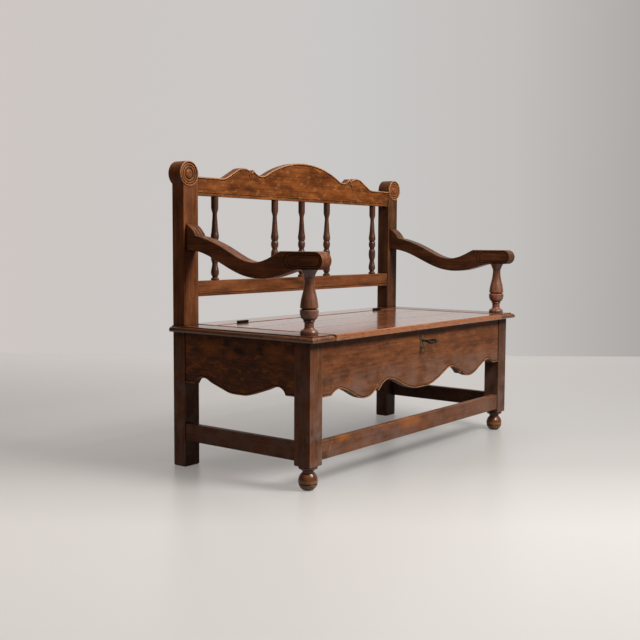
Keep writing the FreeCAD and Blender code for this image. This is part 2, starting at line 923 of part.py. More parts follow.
def seat_lid():
    name = "seat_lid"
    half = side_board_inner - S.lid_gap
    section = board_section(rounded(seat_front, 1, S.seat_up, S.seat_board), rear_board_front - S.lid_gap)
    sketch = outline(name + "_section", "side", section, x=-1 * half)
    board = extrude(name + "_board", sketch, (1, 0, 0), half * 2)
    cutters = []
    for hand in SIDES:
        cutters.append(leaf_recess(name + "_for_leaf_" + hand, -1, hinge_span(hand)))
        cutters += leaf_screws(name + "_for_screws_" + hand, hand, -1, SCREW_PLAY)
        cutters += cleat_screws(name + "_for_cleat_" + hand, hand, SCREW_PLAY)
    cutters += staple_screws(name + "_for_staple", SCREW_PLAY)
    return named(cut(name, board, cutters), name)


cleat_front = apron_inner + S.lock_deep + 8.0
cleat_back = rear_board_front - 25.0
CLEAT_SCREW_SHARES = (0.08, 0.36, 0.64, 0.92)


def cleat_span(hand):
    side = SIDES[hand]
    far = side_board_inner - S.cleat_from_end
    return span(side, far - S.cleat_wide, far)


def cleat_screws(name, hand, play=0.0):
    """Screws driven up through a cleat into the lid."""
    low, high = cleat_span(hand)
    middle = (low + high) / 2
    start = seat_under - S.cleat_thick
    long = S.cleat_thick + S.seat_board * 0.6
    screws = []
    for number, share in enumerate(CLEAT_SCREW_SHARES, start=1):
        y = cleat_front + (cleat_back - cleat_front) * share
        shank = rod("%s_shank_%d" % (name, number), "z", S.screw_radius + play, (middle, y, start), long)
        head = cone("%s_head_%d" % (name, number), "z", S.screw_head + play, S.screw_radius + play,
                    (middle, y, start), 2.4)
        screws.append(fuse("%s_%d" % (name, number), [shank, head]))
    return screws


def lid_cleat(hand):
    name = "lid_cleat_" + hand
    body = block(name + "_body", cleat_span(hand), (cleat_front, cleat_back),
                 (seat_under - S.cleat_thick, seat_under))
    return named(cut(name, body, cleat_screws(name + "_for", hand, SCREW_PLAY)), name)


# Chest

def front_apron_half():
    """Lower edge of the front apron from its middle to the leg."""
    flat_up = apron_end_up
    arch = flat_up + 16.0
    lobe = flat_up - 32.5
    return [
        curve([(0, lobe), (45, lobe + 1.5), (118, lobe + 22.5), (163, arch - 6.5), (197, arch)],
              begin=(1, 0), finish=(1, 0)),
        curve([(197, arch), (222, arch - 5.0), (240, arch - 17.0), (257, arch - 31.0)]),
        line((257, arch - 31.0), (268, flat_up - 4.0)),
        curve([(268, flat_up - 4.0), (287, flat_up - 19.0), (328, lobe + 4.0)]),
        curve([(328, lobe + 4.0), (356, lobe + 8.5), (418, flat_up + 3.5), (462, arch + 0.5)]),
        curve([(462, arch + 0.5), (481, arch - 4.0), (501, flat_up)]),
        line((501, flat_up), (leg_inner, flat_up)),
    ]


def front_apron():
    name = "front_apron"
    half = front_apron_half()
    low = mirrored(half) + half
    high_right = (leg_inner, seat_under)
    high_left = (-1 * leg_inner, seat_under)
    ends = [line(half[-1][1][-1], high_right), line(high_right, high_left), line(high_left, low[0][1][0])]
    board = front_board(name + "_board", low + ends, apron_front, S.apron_thick)
    body = with_tenons(name, board, [leg_joints(side)["front_apron"] for side in SIDES.values()])
    cutters = [
        rod(name + "_keyhole", "y", S.key_shaft_radius + S.key_fit, (0, apron_front, keyhole_up),
            S.apron_thick),
        block(name + "_bit_slot", centred(Size.of(0), S.key_bit_thick + 2 * S.key_fit),
              (apron_front, apron_inner),
              (keyhole_up - S.key_bit_reach - S.key_fit, keyhole_up)),
    ]
    cutters += lock_screws(name + "_for_lock", SCREW_PLAY)
    cutters += plate_pins(name + "_for_pins", SCREW_PLAY)
    return named(cut(name, body, cutters), name)


def side_apron_edge():
    """Lower edge of a side apron, from the front leg to the rear post."""
    middle = (leg_front + back_plane) / 2
    flat_up = side_apron_end_up
    arch = flat_up + 21.5
    half = [
        curve([(0, flat_up - 17.0), (34, flat_up - 15.5), (76, flat_up - 3.0), (119, flat_up + 12.0),
               (152, arch)], begin=(1, 0), finish=(1, 0)),
        curve([(152, arch), (168, arch - 2.5), (178, flat_up + 11.0), (184, flat_up)]),
    ]
    edges = mirrored(half) + half
    moved = []
    for edge in edges:
        points = [(middle + x, z) for x, z in edge[1]]
        moved.append((edge[0], points) + tuple(edge[2:]))
    start = line((leg_back, flat_up), moved[0][1][0])
    finish = line(moved[-1][1][-1], (post_front, flat_up))
    return [start] + moved + [finish]


def side_apron(hand):
    side = SIDES[hand]
    name = "side_apron_" + hand
    low = side_apron_edge()
    corners = [(post_front, side_apron_end_up), (post_front, seat_under), (leg_back, seat_under),
               (leg_back, side_apron_end_up)]
    x = span(side, side_apron_inner, side_apron_outer)
    board = side_board(name + "_board", low + lines(corners), x[0], S.apron_thick)
    joints = [post_joints(side)["side_apron"], leg_joints(side)["side_apron"]]
    return named(with_tenons(name, board, joints), name)


def back_panel():
    name = "back_panel"
    board = block(name + "_board", (-1 * post_inner, post_inner), (back_panel_front, back_panel_back),
                  back_panel_heights)
    joints = [post_joints(side)["back_panel"] for side in SIDES.values()]
    return named(with_tenons(name, board, joints), name)


def bearer(name, y):
    long = leg_inner - 30.0
    return named(block(name, (-1 * long, long), y,
                       (floor_up - S.floor_thick - S.bearer_square, floor_up - S.floor_thick)), name)


def chest_floor():
    """Loose floor of the chest on its two bearers, notched round the legs and posts."""
    name = "chest_floor"
    gap = S.floor_gap
    heights = (floor_up - S.floor_thick, floor_up)
    half = side_apron_inner - gap
    body = block(name + "_board", (-1 * half, half), (apron_inner + gap, back_panel_front - gap), heights)
    cutters = []
    for hand, side in SIDES.items():
        cutters.append(block(name + "_for_leg_" + hand, span(side, leg_inner - gap, half + 1),
                             (apron_inner, leg_back + gap), grown(heights, 1)))
        cutters.append(block(name + "_for_post_" + hand, span(side, post_inner - gap, half + 1),
                             (post_front - gap, back_panel_front), grown(heights, 1)))
    return named(cut(name, body, cutters), name)


# Stretchers

def front_stretcher():
    name = "front_stretcher"
    board = block(name + "_board", (-1 * leg_inner, leg_inner), (apron_front, apron_front + S.stretcher_thick),
                  stretcher_heights)
    joints = [leg_joints(side)["front_stretcher"] for side in SIDES.values()]
    return named(with_tenons(name, board, joints), name)


def side_stretcher(hand):
    side = SIDES[hand]
    name = "side_stretcher_" + hand
    board = block(name + "_board", span(side, stretcher_outer - S.stretcher_thick, stretcher_outer),
                  (leg_back, post_front), stretcher_heights)
    joints = [post_joints(side)["side_stretcher"], leg_joints(side)["side_stretcher"]]
    return named(with_tenons(name, board, joints), name)


# Hinges

def knuckle_spans(hand):
    """The three lengths of barrel of a hinge: fixed, moving, fixed."""
    low, high = hinge_span(hand)
    third = (high - low) / 3
    gap = S.knuckle_gap / 2
    return [
        (low, low + third - gap),
        (low + third + gap, high - third - gap),
        (high - third + gap, high),
    ]


def hinge_leaf(name, hand, inward, own, other):
    """A leaf with its barrel lengths: inward is -1 for the lid's leaf and 1 for the fixed one."""
    low, high = hinge_span(hand)
    near = hinge_line + inward * 0.2
    far = hinge_line + inward * (0.2 + S.leaf_thick)
    y = (near, far) if inward > 0 else (far, near)
    up = (S.seat_up - S.leaf_tall, hinge_up - S.knuckle_radius * 0.55)
    plate = block(name + "_plate", (low, high), y, up)
    barrel = [
        rod("%s_knuckle_%d" % (name, number), "x", S.knuckle_radius, (part[0], hinge_line, hinge_up),
            part[1] - part[0])
        for number, part in enumerate(own, start=1)
    ]
    clear = S.knuckle_radius + S.knuckle_gap
    cutters = [
        rod("%s_clear_%d" % (name, number), "x", clear, (part[0] - S.knuckle_gap, hinge_line, hinge_up),
            part[1] - part[0] + 2 * S.knuckle_gap)
        for number, part in enumerate(other, start=1)
    ]
    cutters.append(rod(name + "_bore", "x", S.hinge_pin_radius + S.pin_fit, (low, hinge_line, hinge_up),
                       high - low))
    cutters += leaf_screws(name + "_for_screws", hand, inward, SCREW_PLAY)
    return named(cut(name, fuse(name + "_whole", [plate] + barrel), cutters), name)


def hinge(hand):
    low, high = hinge_span(hand)
    parts = knuckle_spans(hand)
    fixed = [parts[0], parts[2]]
    moving = [parts[1]]
    pin_name = "hinge_pin_" + hand
    leaves = [
        hinge_leaf("hinge_fixed_leaf_" + hand, hand, 1, fixed, moving),
        hinge_leaf("hinge_lid_leaf_" + hand, hand, -1, moving, fixed),
    ]
    pin = rod(pin_name, "x", S.hinge_pin_radius, (low, hinge_line, hinge_up), high - low)
    return leaves + [named(pin, pin_name)]


# Lock, key and escutcheon

lock_back = apron_inner + S.lock_deep
lock_top = seat_under - S.lock_below_top
lock_bottom = lock_top - S.lock_tall
bolt_top = lock_top - S.bolt_below_top
bolt_y = lock_back - S.lock_wall - S.staple_slot_play - S.staple_wide / 2
bolt_tip = -1 * S.staple_thick / 2 - 1.0
bolt_back = S.bolt_throw * S.key_rest_turn / 360
bolt_tail_end = -1 * S.staple_thick / 2 - (S.bolt_throw - bolt_back) - 0.5
bolt_heights = (bolt_top - S.bolt_tall, bolt_top)


def lock_case():
    """Five-sided steel case with a slot above for the staple and a guide that carries the bolt."""
    name = "lock_case"
    wall = S.lock_wall
    half = S.lock_half_wide
    front = apron_inner + S.lock_wall
    outer = block(name + "_outer", (-1 * half, half), (front, lock_back), (lock_bottom, lock_top))
    cavity = block(name + "_cavity", (wall - half, half - wall), (front - 1, lock_back - wall),
                   (lock_bottom + wall, lock_top - wall))
    play = S.staple_slot_play
    slot = block(name + "_slot", grown(centred(Size.of(0), S.staple_thick), play),
                 (front - 1, bolt_y + S.staple_wide / 2 + play), (lock_top - wall - 1, lock_top + 1))
    nose = rod(name + "_key_bearing", "y", S.key_shaft_radius * 0.6 + 0.1,
               (0, lock_back - wall - 1, keyhole_up), wall + 2)
    shell = cut(name + "_shell", outer, [cavity, slot, nose])
    guide_x = (bolt_tip - S.bolt_long + wall, bolt_tail_end - S.bolt_tail_long - bolt_back - 0.5)
    bolt_depths = centred(bolt_y, S.bolt_thick)
    guide = block(name + "_guide", guide_x, (bolt_depths[0] - S.bolt_gap - wall, lock_back - wall),
                  grown(bolt_heights, S.bolt_gap + wall))
    channel = block(name + "_channel", grown(guide_x, 1), grown(bolt_depths, S.bolt_gap),
                    grown(bolt_heights, S.bolt_gap))
    return named(fuse(name, [shell, cut(name + "_open_guide", guide, [channel])]), name)


def lock_plate():
    """Plate of the lock against the apron, with the key's hole."""
    name = "lock_plate"
    half = S.lock_half_wide + S.lock_flange
    body = block(name + "_body", (-1 * half, half), (apron_inner, apron_inner + S.lock_wall),
                 (lock_bottom, lock_top))
    hole = rod(name + "_keyhole", "y", S.key_shaft_radius + S.key_fit, (0, apron_inner, keyhole_up),
               S.lock_wall)
    slot = block(name + "_bit_slot", centred(Size.of(0), S.key_bit_thick + 2 * S.key_fit),
                 (apron_inner, apron_inner + S.lock_wall),
                 (keyhole_up - S.key_bit_reach - S.key_fit, keyhole_up))
    return named(cut(name, body, [hole, slot] + lock_screws(name + "_for", SCREW_PLAY)), name)


def lock_screws(name, play=0.0):
    """Four screws through the lock plate into the apron."""
    screws = []
    x = S.lock_half_wide + S.lock_flange / 2
    long = S.apron_thick * 0.7
    plate_back = apron_inner + S.lock_wall
    radius = S.screw_radius + play
    number = 0
    for side in SIDES.values():
        for up in (lock_bottom + 7.0, lock_top - 7.0):
            number += 1
            shank = rod("%s_shank_%d" % (name, number), "y", radius, (side * x, plate_back - long, up), long)
            head = cone("%s_head_%d" % (name, number), "y", radius, S.screw_head + play,
                        (side * x, apron_inner, up), S.lock_wall)
            screws.append(fuse("%s_%d" % (name, number), [shank, head]))
    return screws


def lock_bolt():
    """Sliding bolt, shown withdrawn, with a tail that hangs over the key's bit."""
    name = "lock_bolt"
    y = centred(bolt_y, S.bolt_thick)
    bar = block(name + "_bar", (bolt_tip - S.bolt_long, bolt_tip), y, bolt_heights)
    tail = block(name + "_tail", (bolt_tail_end - S.bolt_tail_long, bolt_tail_end), y,
                 (keyhole_up + S.key_bit_reach + 0.8, bolt_heights[0]))
    return named(fuse(name, [bar, tail]), name)


def lock_staple():
    """Plate on the underside of the lid with an eye that drops into the lock."""
    name = "lock_staple"
    half = S.staple_plate_half_wide
    y = centred(bolt_y, S.staple_wide + 8.0)
    plate_low = seat_under - S.staple_plate_thick
    plate = block(name + "_plate", (-1 * half, half), (apron_inner + 1, y[1]), (plate_low, seat_under))
    eye_low = bolt_heights[0] - S.staple_eye_play - 2.0
    ear = block(name + "_ear", centred(Size.of(0), S.staple_thick), centred(bolt_y, S.staple_wide),
                (eye_low, plate_low))
    eye = block(name + "_eye", (-1 * S.staple_thick, S.staple_thick),
                grown(centred(bolt_y, S.bolt_thick), S.staple_eye_play * 0.6),
                grown(bolt_heights, S.staple_eye_play))
    body = cut(name + "_with_eye", fuse(name + "_whole", [plate, ear]), [eye])
    return named(cut(name, body, staple_screws(name + "_for", SCREW_PLAY)), name)


def staple_screws(name, play=0.0):
    """Two screws up through the staple's plate into the lid."""
    screws = []
    start = seat_under - S.staple_plate_thick
    radius = S.screw_radius + play
    for number, side in enumerate(SIDES.values(), start=1):
        point = (side * S.staple_plate_half_wide * 0.7, bolt_y, start)
        shank = rod("%s_shank_%d" % (name, number), "z", radius, point, S.seat_board * 0.7)
        head = cone("%s_head_%d" % (name, number), "z", S.screw_head + play, radius, point,
                    S.staple_plate_thick)
        screws.append(fuse("%s_%d" % (name, number), [shank, head]))
    return screws


def plate_half():
    """Right half of the escutcheon's edge, from its top point to its bottom point."""
    wide = S.plate_half_wide
    up = keyhole_up
    high = up + S.plate_above
    low = up - S.plate_below
    return [
        arc((0, high), (wide * 0.42, high - 4), (wide * 0.33, high - 9)),
        arc((wide * 0.33, high - 9), (wide * 0.85, high - 11), (wide, up + 3)),
        arc((wide, up + 3), (wide * 0.8, up - 4), (wide * 0.55, up - 8)),
        arc((wide * 0.55, up - 8), (wide * 0.85, up - 13), (wide * 0.62, up - 19)),
        arc((wide * 0.62, up - 19), (wide * 0.3, up - 23), (wide * 0.26, up - 28)),
        arc((wide * 0.26, up - 28), (wide * 0.58, low + 6), (0, low)),
    ]


plate_front = apron_front - S.plate_thick
PLATE_PINS = ((0, 14.5), (0, -31.5))


def plate_pins(name, play=0.0):
    """Small round-headed pins that hold the escutcheon."""
    pins = []
    for number, (x, up) in enumerate(PLATE_PINS, start=1):
        z = keyhole_up + up
        shank = rod("%s_shank_%d" % (name, number), "y", 0.8 + play, (x, plate_front, z), 12.0)
        head = rod("%s_head_%d" % (name, number), "y", 1.6, (x, plate_front - 0.8, z), 0.8)
        pins.append(fuse("%s_%d" % (name, number), [shank, head]))
    return pins


def escutcheon():
    name = "escutcheon"
    half = plate_half()
    board = front_board(name + "_plate", half + mirrored(half), plate_front, S.plate_thick)
    hole = rod(name + "_keyhole", "y", S.key_shaft_radius + S.key_fit, (0, plate_front, keyhole_up),
               S.plate_thick)
    slot = block(name + "_slot", centred(Size.of(0), S.key_bit_thick + 2 * S.key_fit),
                 (plate_front, apron_front), (keyhole_up - S.key_bit_reach - S.key_fit, keyhole_up))
    return named(cut(name, board, [hole, slot] + plate_pins(name + "_for", SCREW_PLAY)), name)


def key():
    """Key in its lock: ring bow outside, shaft through the apron, bit inside the case."""
    name = "key"
    tip_y = lock_back - 0.2
    bow_front = plate_front - S.key_standout
    bow_back = bow_front + S.key_bow_long
    shaft_end = lock_back - S.lock_wall - 0.6
    shaft = rod(name + "_shaft", "y", S.key_shaft_radius, (0, bow_back - 3.0, 0), shaft_end - bow_back + 3.0)
    nose = rod(name + "_nose", "y", S.key_shaft_radius * 0.6, (0, shaft_end, 0), tip_y - shaft_end)
    collar = rod(name + "_collar", "y", S.key_shaft_radius + 1.6, (0, bow_back + 1.0, 0), 3.0)
    bit_front = apron_inner + S.lock_wall + 1.0
    bit = block(name + "_bit", centred(Size.of(0), S.key_bit_thick), (bit_front, bit_front + S.key_bit_long),
                (-1 * S.key_bit_reach, 0))
    wire = S.key_bow_wire
    middle = (bow_front + bow_back) / 2
    outer = doc.addObject("Part::Ellipsoid", name + "_bow_outer")
    inner = doc.addObject("Part::Ellipsoid", name + "_bow_inner")
    half_long = S.key_bow_long / 2
    half_wide = S.key_bow_half_wide
    for solid, less in ((outer, 0), (inner, 2 * wire)):
        bind(solid, "Radius1", half_wide - less)
        bind(solid, "Radius2", half_wide)
        bind(solid, "Radius3", half_long - less)
        solid.Angle1 = -90
        solid.Angle2 = 90
        solid.Angle3 = 360
        place(solid, 0, middle, 0)
    slab = block(name + "_bow_slab", (-1 * wire, wire), (bow_front - 1, bow_back + 1),
                 (-1 * half_wide - 1, half_wide + 1))
    through = block(name + "_bow_hole_slab", (-2 * wire, 2 * wire), (bow_front, bow_back),
                    (-1 * half_wide, half_wide))
    bow = cut(name + "_bow", common(name + "_bow_disc", outer, slab),
              [common(name + "_bow_hole", inner, through)])
    whole = fuse(name, [shaft, nose, collar, bit, bow])
    turn = Rotation(Vector(0, 1, 0), float(S.key_rest_turn))
    return named(place(whole, 0, 0, keyhole_up, turn=turn), name)


# Every named piece

pieces = []
for hand in SIDES:
    pieces.append(rear_post(hand))
    pieces.append(front_leg(hand))
    pieces.append(ball_foot(hand))
    pieces.append(arm(hand))
    pieces.append(arm_support(hand))
    pieces.append(seat_side_board(hand))
    pieces.append(side_apron(hand))
    pieces.append(side_stretcher(hand))
    pieces.append(lid_cleat(hand))
    pieces += hinge(hand)
pieces.append(crest_rail())
pieces.append(lower_back_rail())
for number, step in enumerate(SPINDLE_PLACES, start=1):
    pieces.append(spindle(number, step))
pieces.append(seat_rear_board())
pieces.append(seat_lid())
pieces.append(front_apron())
pieces.append(back_panel())
pieces.append(chest_floor())
floor_bearer_back = (back_panel_front - S.bearer_square, back_panel_front)
pieces.append(bearer("floor_bearer_front", (apron_inner, apron_inner + S.bearer_square)))
pieces.append(bearer("floor_bearer_back", floor_bearer_back))
pieces.append(front_stretcher())
pieces.append(escutcheon())
pieces.append(key())
pieces.append(lock_case())
pieces.append(lock_plate())
pieces.append(lock_bolt())
pieces.append(lock_staple())
fixed_leaf_screws = leaf_screws("fixed_left", "left", 1) + leaf_screws("fixed_right", "right", 1)
pieces.append(group("hinge_screws_fixed", fixed_leaf_screws))
lid_leaf_screws = leaf_screws("moving_left", "left", -1) + leaf_screws("moving_right", "right", -1)
pieces.append(group("hinge_screws_lid", lid_leaf_screws))
cleat_screw_solids = cleat_screws("cleat_left", "left") + cleat_screws("cleat_right", "right")
pieces.append(group("cleat_screws", cleat_screw_solids))
pieces.append(group("lock_screws", lock_screws("lock_screw")))
pieces.append(group("staple_screws", staple_screws("staple_screw")))
pieces.append(group("escutcheon_pins", plate_pins("escutcheon_pin")))

doc.recompute()

# Checks before anything is written

for thing in doc.Objects:
    for state in ("Invalid", "Error"):
        if state in thing.State:
            raise RuntimeError("%s is %s" % (thing.Label, state))
for piece in pieces:
    if piece.Shape.isNull() or not piece.Shape.isValid() or not piece.Shape.Solids:
        raise RuntimeError("%s has no valid solid" % piece.Label)

os.makedirs("parts", exist_ok=True)
for piece in pieces:
    piece.Shape.exportStep("parts/%s.step" % piece.Label)
print(len(pieces), "pieces written")
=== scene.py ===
"""Finishes an oak box settle: carved and turned oak, old brass and iron, lit in a plain studio."""

import json
import math
from collections import Counter

import bpy
from mathutils import Matrix, Vector

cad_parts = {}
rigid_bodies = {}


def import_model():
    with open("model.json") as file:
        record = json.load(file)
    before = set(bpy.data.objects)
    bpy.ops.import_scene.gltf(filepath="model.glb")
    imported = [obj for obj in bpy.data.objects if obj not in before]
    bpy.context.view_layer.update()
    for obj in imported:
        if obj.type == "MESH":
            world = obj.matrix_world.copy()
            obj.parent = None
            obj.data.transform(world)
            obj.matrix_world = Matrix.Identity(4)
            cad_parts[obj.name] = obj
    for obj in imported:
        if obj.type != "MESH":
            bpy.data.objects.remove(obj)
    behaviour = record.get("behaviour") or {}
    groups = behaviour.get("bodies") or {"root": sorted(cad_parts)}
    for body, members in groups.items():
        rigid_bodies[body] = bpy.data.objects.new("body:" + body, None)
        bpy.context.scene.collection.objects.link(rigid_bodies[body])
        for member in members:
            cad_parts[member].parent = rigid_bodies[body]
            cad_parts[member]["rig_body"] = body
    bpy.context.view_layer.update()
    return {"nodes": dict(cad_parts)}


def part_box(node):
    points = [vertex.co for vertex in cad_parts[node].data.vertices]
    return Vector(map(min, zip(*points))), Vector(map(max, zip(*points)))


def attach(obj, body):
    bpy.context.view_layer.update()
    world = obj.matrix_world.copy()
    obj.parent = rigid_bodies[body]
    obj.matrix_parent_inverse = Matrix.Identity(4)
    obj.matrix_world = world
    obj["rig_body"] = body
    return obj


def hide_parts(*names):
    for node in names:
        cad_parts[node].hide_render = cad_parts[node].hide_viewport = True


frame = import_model()

MM = 0.001
HAIR = 0.01 * MM
# Points nearer than this are one point, in metres.
SAME_POINT = 1e-6
SIDES = {"left": -1, "right": 1}
X, Y, Z = 0, 1, 2
UP = Vector((0, 0, 1))


# Small tools


def linear(code):
    """Linear colour of an sRGB hex value."""
    parts = [int(code[i:i + 2], 16) / 255 for i in (0, 2, 4)]
    return [c / 12.92 if c <= 0.04045 else ((c + 0.055) / 1.055) ** 2.4 for c in parts] + [1.0]


def add(tree, kind, inputs=(), output=0, stops=(), **settings):
    """Adds a node and gives one of its outputs.

    Its inputs are numbers, colours or other nodes' outputs, in the order of its sockets, or by name
    or place in that order.
    """
    made = tree.nodes.new("ShaderNode" + kind)
    for name, value in settings.items():
        setattr(made, name, value)
    if stops:
        ramp = made.color_ramp.elements
        while len(ramp) < len(stops):
            ramp.new(0.5)
        for element, (place, colour) in zip(ramp, stops):
            element.position = place
            element.color = linear(colour)
    named = inputs if isinstance(inputs, dict) else dict(enumerate(inputs))
    for name, value in named.items():
        if isinstance(value, bpy.types.NodeSocket):
            tree.links.new(value, made.inputs[name])
        else:
            made.inputs[name].default_value = value
    return made.outputs[output]


def placed(name, data):
    """A new object of the scene, at the origin."""
    made = bpy.data.objects.new(name, data)
    bpy.context.scene.collection.objects.link(made)
    return made


def select_only(*pieces):
    bpy.ops.object.select_all(action="DESELECT")
    for piece in pieces:
        piece.select_set(True)
    bpy.context.view_layer.objects.active = pieces[0]


def apply_modifier(piece, kind, **settings):
    """Gives a piece one modifier with its settings and applies it."""
    select_only(piece)
    made = piece.modifiers.new(kind.lower(), kind)
    for name, value in settings.items():
        setattr(made, name, value)
    bpy.ops.object.modifier_apply(modifier=made.name)


def edit(piece, *steps):
    """Runs edit mode operators on the whole of a piece: each step is an operator and its settings."""
    select_only(piece)
    bpy.ops.object.mode_set(mode="EDIT")
    for operator, settings in steps:
        bpy.ops.mesh.select_all(action="SELECT")
        operator(**settings)
    bpy.ops.object.mode_set(mode="OBJECT")


def without_slivers(piece):
    """Takes out faces and edges too thin to see, which bevels and cuts leave at a corner."""
    edit(piece, (bpy.ops.mesh.dissolve_degenerate, {"threshold": HAIR}))


def closed_and_outwards(piece):
    """Merges the points that meet and turns every face outwards."""
    edit(piece, (bpy.ops.mesh.remove_doubles, {"threshold": SAME_POINT}),
         (bpy.ops.mesh.normals_make_consistent, {"inside": False}))


def only_material(piece, finish):
    piece.data.materials.clear()
    piece.data.materials.append(finish)


# Finishes


def principled(name, values):
    """A material with one Principled shader, its node tree and the shader's sockets."""
    material = bpy.data.materials.new(name)
    material.use_nodes = True
    tree = material.node_tree
    sockets = tree.nodes["Principled BSDF"].inputs
    for socket, value in values.items():
        sockets[socket].default_value = value
    return material, tree, sockets


def pattern(tree, place, along_mm, across_mm, grain, detail=3.0, roughness=0.55, shift=0.0):
    """Noise stretched along the grain: a patch is about along_mm long and across_mm wide."""
    sizes = [across_mm * MM] * 3
    sizes[grain] = along_mm * MM
    stretched = add(tree, "VectorMath", [place, [1 / size for size in sizes]], operation="MULTIPLY")
    moved = add(tree, "VectorMath", [stretched, [shift] * 3], operation="ADD")
    return add(tree, "TexNoise", {"Vector": moved, "Scale": 1.0, "Detail": detail, "Roughness": roughness})


def spots(tree, place, grain, worn, mottle=0.0, haze=None, hazy=0.6, bands=(), marks=(), worn_front=None):
    """What lies on the stain here and there, as masks with their colours, in the order they are laid on.

    mottle: share of palm-sized lighter and darker figure. haze: heights between which grey dust sets in.
    bands: rubbed rings by height. marks: knots and worn spots by place. worn_front: where a front edge is.
    """
    laid = []
    height = add(tree, "SeparateXYZ", [place], "Z")
    if mottle:
        figure = pattern(tree, place, 34, 17, grain, roughness=0.65, shift=51.0)
        laid.append((add(tree, "MapRange", [figure, 0.46, 0.34, 0.0, mottle]), worn))
        laid.append((add(tree, "MapRange", [figure, 0.54, 0.68, 0.0, mottle]), "160b06"))
    if haze:
        drifts = pattern(tree, place, 60, 45, grain, shift=41.0)
        cloudy = add(tree, "MapRange", [drifts, 0.40, 0.62, 0.1, hazy])
        low_down = add(tree, "MapRange", [height, haze[0] * MM, haze[1] * MM])
        laid.append((add(tree, "Math", [low_down, cloudy], operation="MULTIPLY"), "7b5f52"))
    for low, high, colour, share in bands:
        above = add(tree, "MapRange", [height, low * MM, (low + 2) * MM, 0.0, share])
        below = add(tree, "MapRange", [height, high * MM, (high - 2) * MM])
        laid.append((add(tree, "Math", [above, below], operation="MULTIPLY"), colour))
    for mark, size_mm, colour, share in marks:
        size = size_mm * MM
        gap = add(tree, "VectorMath", [place, [at * MM for at in mark]], operation="SUBTRACT")
        ragged = add(tree, "TexNoise", {"Vector": place, "Scale": 0.9 / size, "Detail": 3.0}, "Color")
        wavy = add(tree, "Mix", {0: 0.5 * size, 6: gap, 7: ragged}, 2, data_type="RGBA",
                   blend_type="LINEAR_LIGHT")
        reach = [1 / size] * 3
        reach[grain] = 0.5 / size
        scaled = add(tree, "VectorMath", [wavy, reach], operation="MULTIPLY")
        far = add(tree, "VectorMath", [scaled], "Value", operation="LENGTH")
        laid.append((add(tree, "MapRange", [far, 1.0, 0.3, 0.0, share]), colour))
    if worn_front is not None:
        front = add(tree, "SeparateXYZ", [place], "Y")
        near = add(tree, "MapRange", [front, worn_front + 4 * MM, worn_front + 1 * MM])
        nick = pattern(tree, place, 17, 3.2, grain, shift=21.0)
        nicked = add(tree, "MapRange", [nick, 0.60, 0.50, 0.25, 0.95])
        laid.append((add(tree, "Math", [near, nicked], operation="MULTIPLY"), worn))
    return laid


def stained_oak(name, grain, dark, mid, light, worn, gloss=0.4, shine=0.15, polish=0.0, relief=0.5,
                rub_mm=3.2, **spotted):
    """Old oak, stained dark and waxed to a satin polish.

    The eye sees cloudy darker and redder patches some centimetres wide, streaks along the grain,
    short open pores that hold dark wax, and a paler orange wood where hands and feet rubbed the edges.
    Streaks are really under a millimetre wide, and are drawn about three wide so that they show.
    """
    material, tree, sockets = principled(name, {
        "Roughness": gloss, "IOR": 1.5, "Specular IOR Level": shine, "Coat Weight": polish,
        "Coat Roughness": 0.13})
    place = add(tree, "TexCoord", output="Object")
    clouds = pattern(tree, place, 120, 42, grain, detail=4.0, roughness=0.6)
    streaks = pattern(tree, place, 150, 5.0, grain, detail=4.0, roughness=0.6, shift=7.3)
    fine = pattern(tree, place, 26, 1.6, grain, detail=2.0, shift=3.1)
    pore = add(tree, "MapRange", [pattern(tree, place, 16, 1.1, grain, detail=1.0, shift=11.7), 0.60, 0.70])
    tone = add(tree, "MapRange", [clouds, 0.30, 0.70, 0.0, 0.50])
    for lines, share in ((streaks, 0.34), (fine, 0.16)):
        drawn = add(tree, "MapRange", [lines, 0.30, 0.70, 0.0, share])
        tone = add(tree, "Math", [tone, drawn], operation="ADD")
    wood = add(tree, "ValToRGB", [tone], stops=[(0.14, dark), (0.50, mid), (0.88, light)])

    # Ambient occlusion: it keeps the rubbed wear off sheltered places, and further down it darkens them as
    # painted shade.
    occlusion = add(tree, "AmbientOcclusion", {"Distance": 9 * MM}, "AO", samples=4)
    facing = add(tree, "Bevel", [rub_mm * MM], samples=4)
    flat = add(tree, "NewGeometry", output="Normal")
    turn = add(tree, "VectorMath", [facing, flat], "Value", operation="DOT_PRODUCT")
    edge = add(tree, "MapRange", [turn, 0.985, 0.86])
    touched = pattern(tree, place, 60, 14, grain, shift=31.0)
    for where in ([occlusion, 0.55, 0.85], [touched, 0.36, 0.62, 0.25, 0.95]):
        edge = add(tree, "Math", [edge, add(tree, "MapRange", where)], operation="MULTIPLY")

    waxed = add(tree, "Math", [pore, 0.55], operation="MULTIPLY")
    for mask, colour in [(waxed, "1c0f09"), *spots(tree, place, grain, worn, **spotted), (edge, worn)]:
        wood = add(tree, "Mix", {0: mask, 6: wood, 7: linear(colour)}, 2, data_type="RGBA")
    # Painted shade: creases, corners and joins near other parts are darkened to about a third by their
    # ambient occlusion.
    painted_shade_amount = add(tree, "MapRange", [occlusion, 0.35, 0.95, 0.35, 1.0])
    grey = add(tree, "CombineColor", [painted_shade_amount, painted_shade_amount, painted_shade_amount])
    wood = add(tree, "Mix", {0: 1.0, 6: wood, 7: grey}, 2, data_type="RGBA", blend_type="MULTIPLY")
    tree.links.new(wood, sockets["Base Color"])

    dull = add(tree, "MapRange", [clouds, 0.3, 0.7, gloss - 0.05, gloss + 0.07])
    tree.links.new(add(tree, "Math", [pore, 0.2, dull], operation="MULTIPLY_ADD"), sockets["Roughness"])
    ridges = add(tree, "Math", [pore, -0.5], operation="MULTIPLY")
    for lines, share in ((fine, 0.3), (streaks, 0.5)):
        ridges = add(tree, "Math", [lines, share, ridges], operation="MULTIPLY_ADD")
    bump = add(tree, "Bump", {"Height": ridges, "Strength": relief, "Distance": 0.5 * MM})
    tree.links.new(bump, sockets["Normal"])
    return material


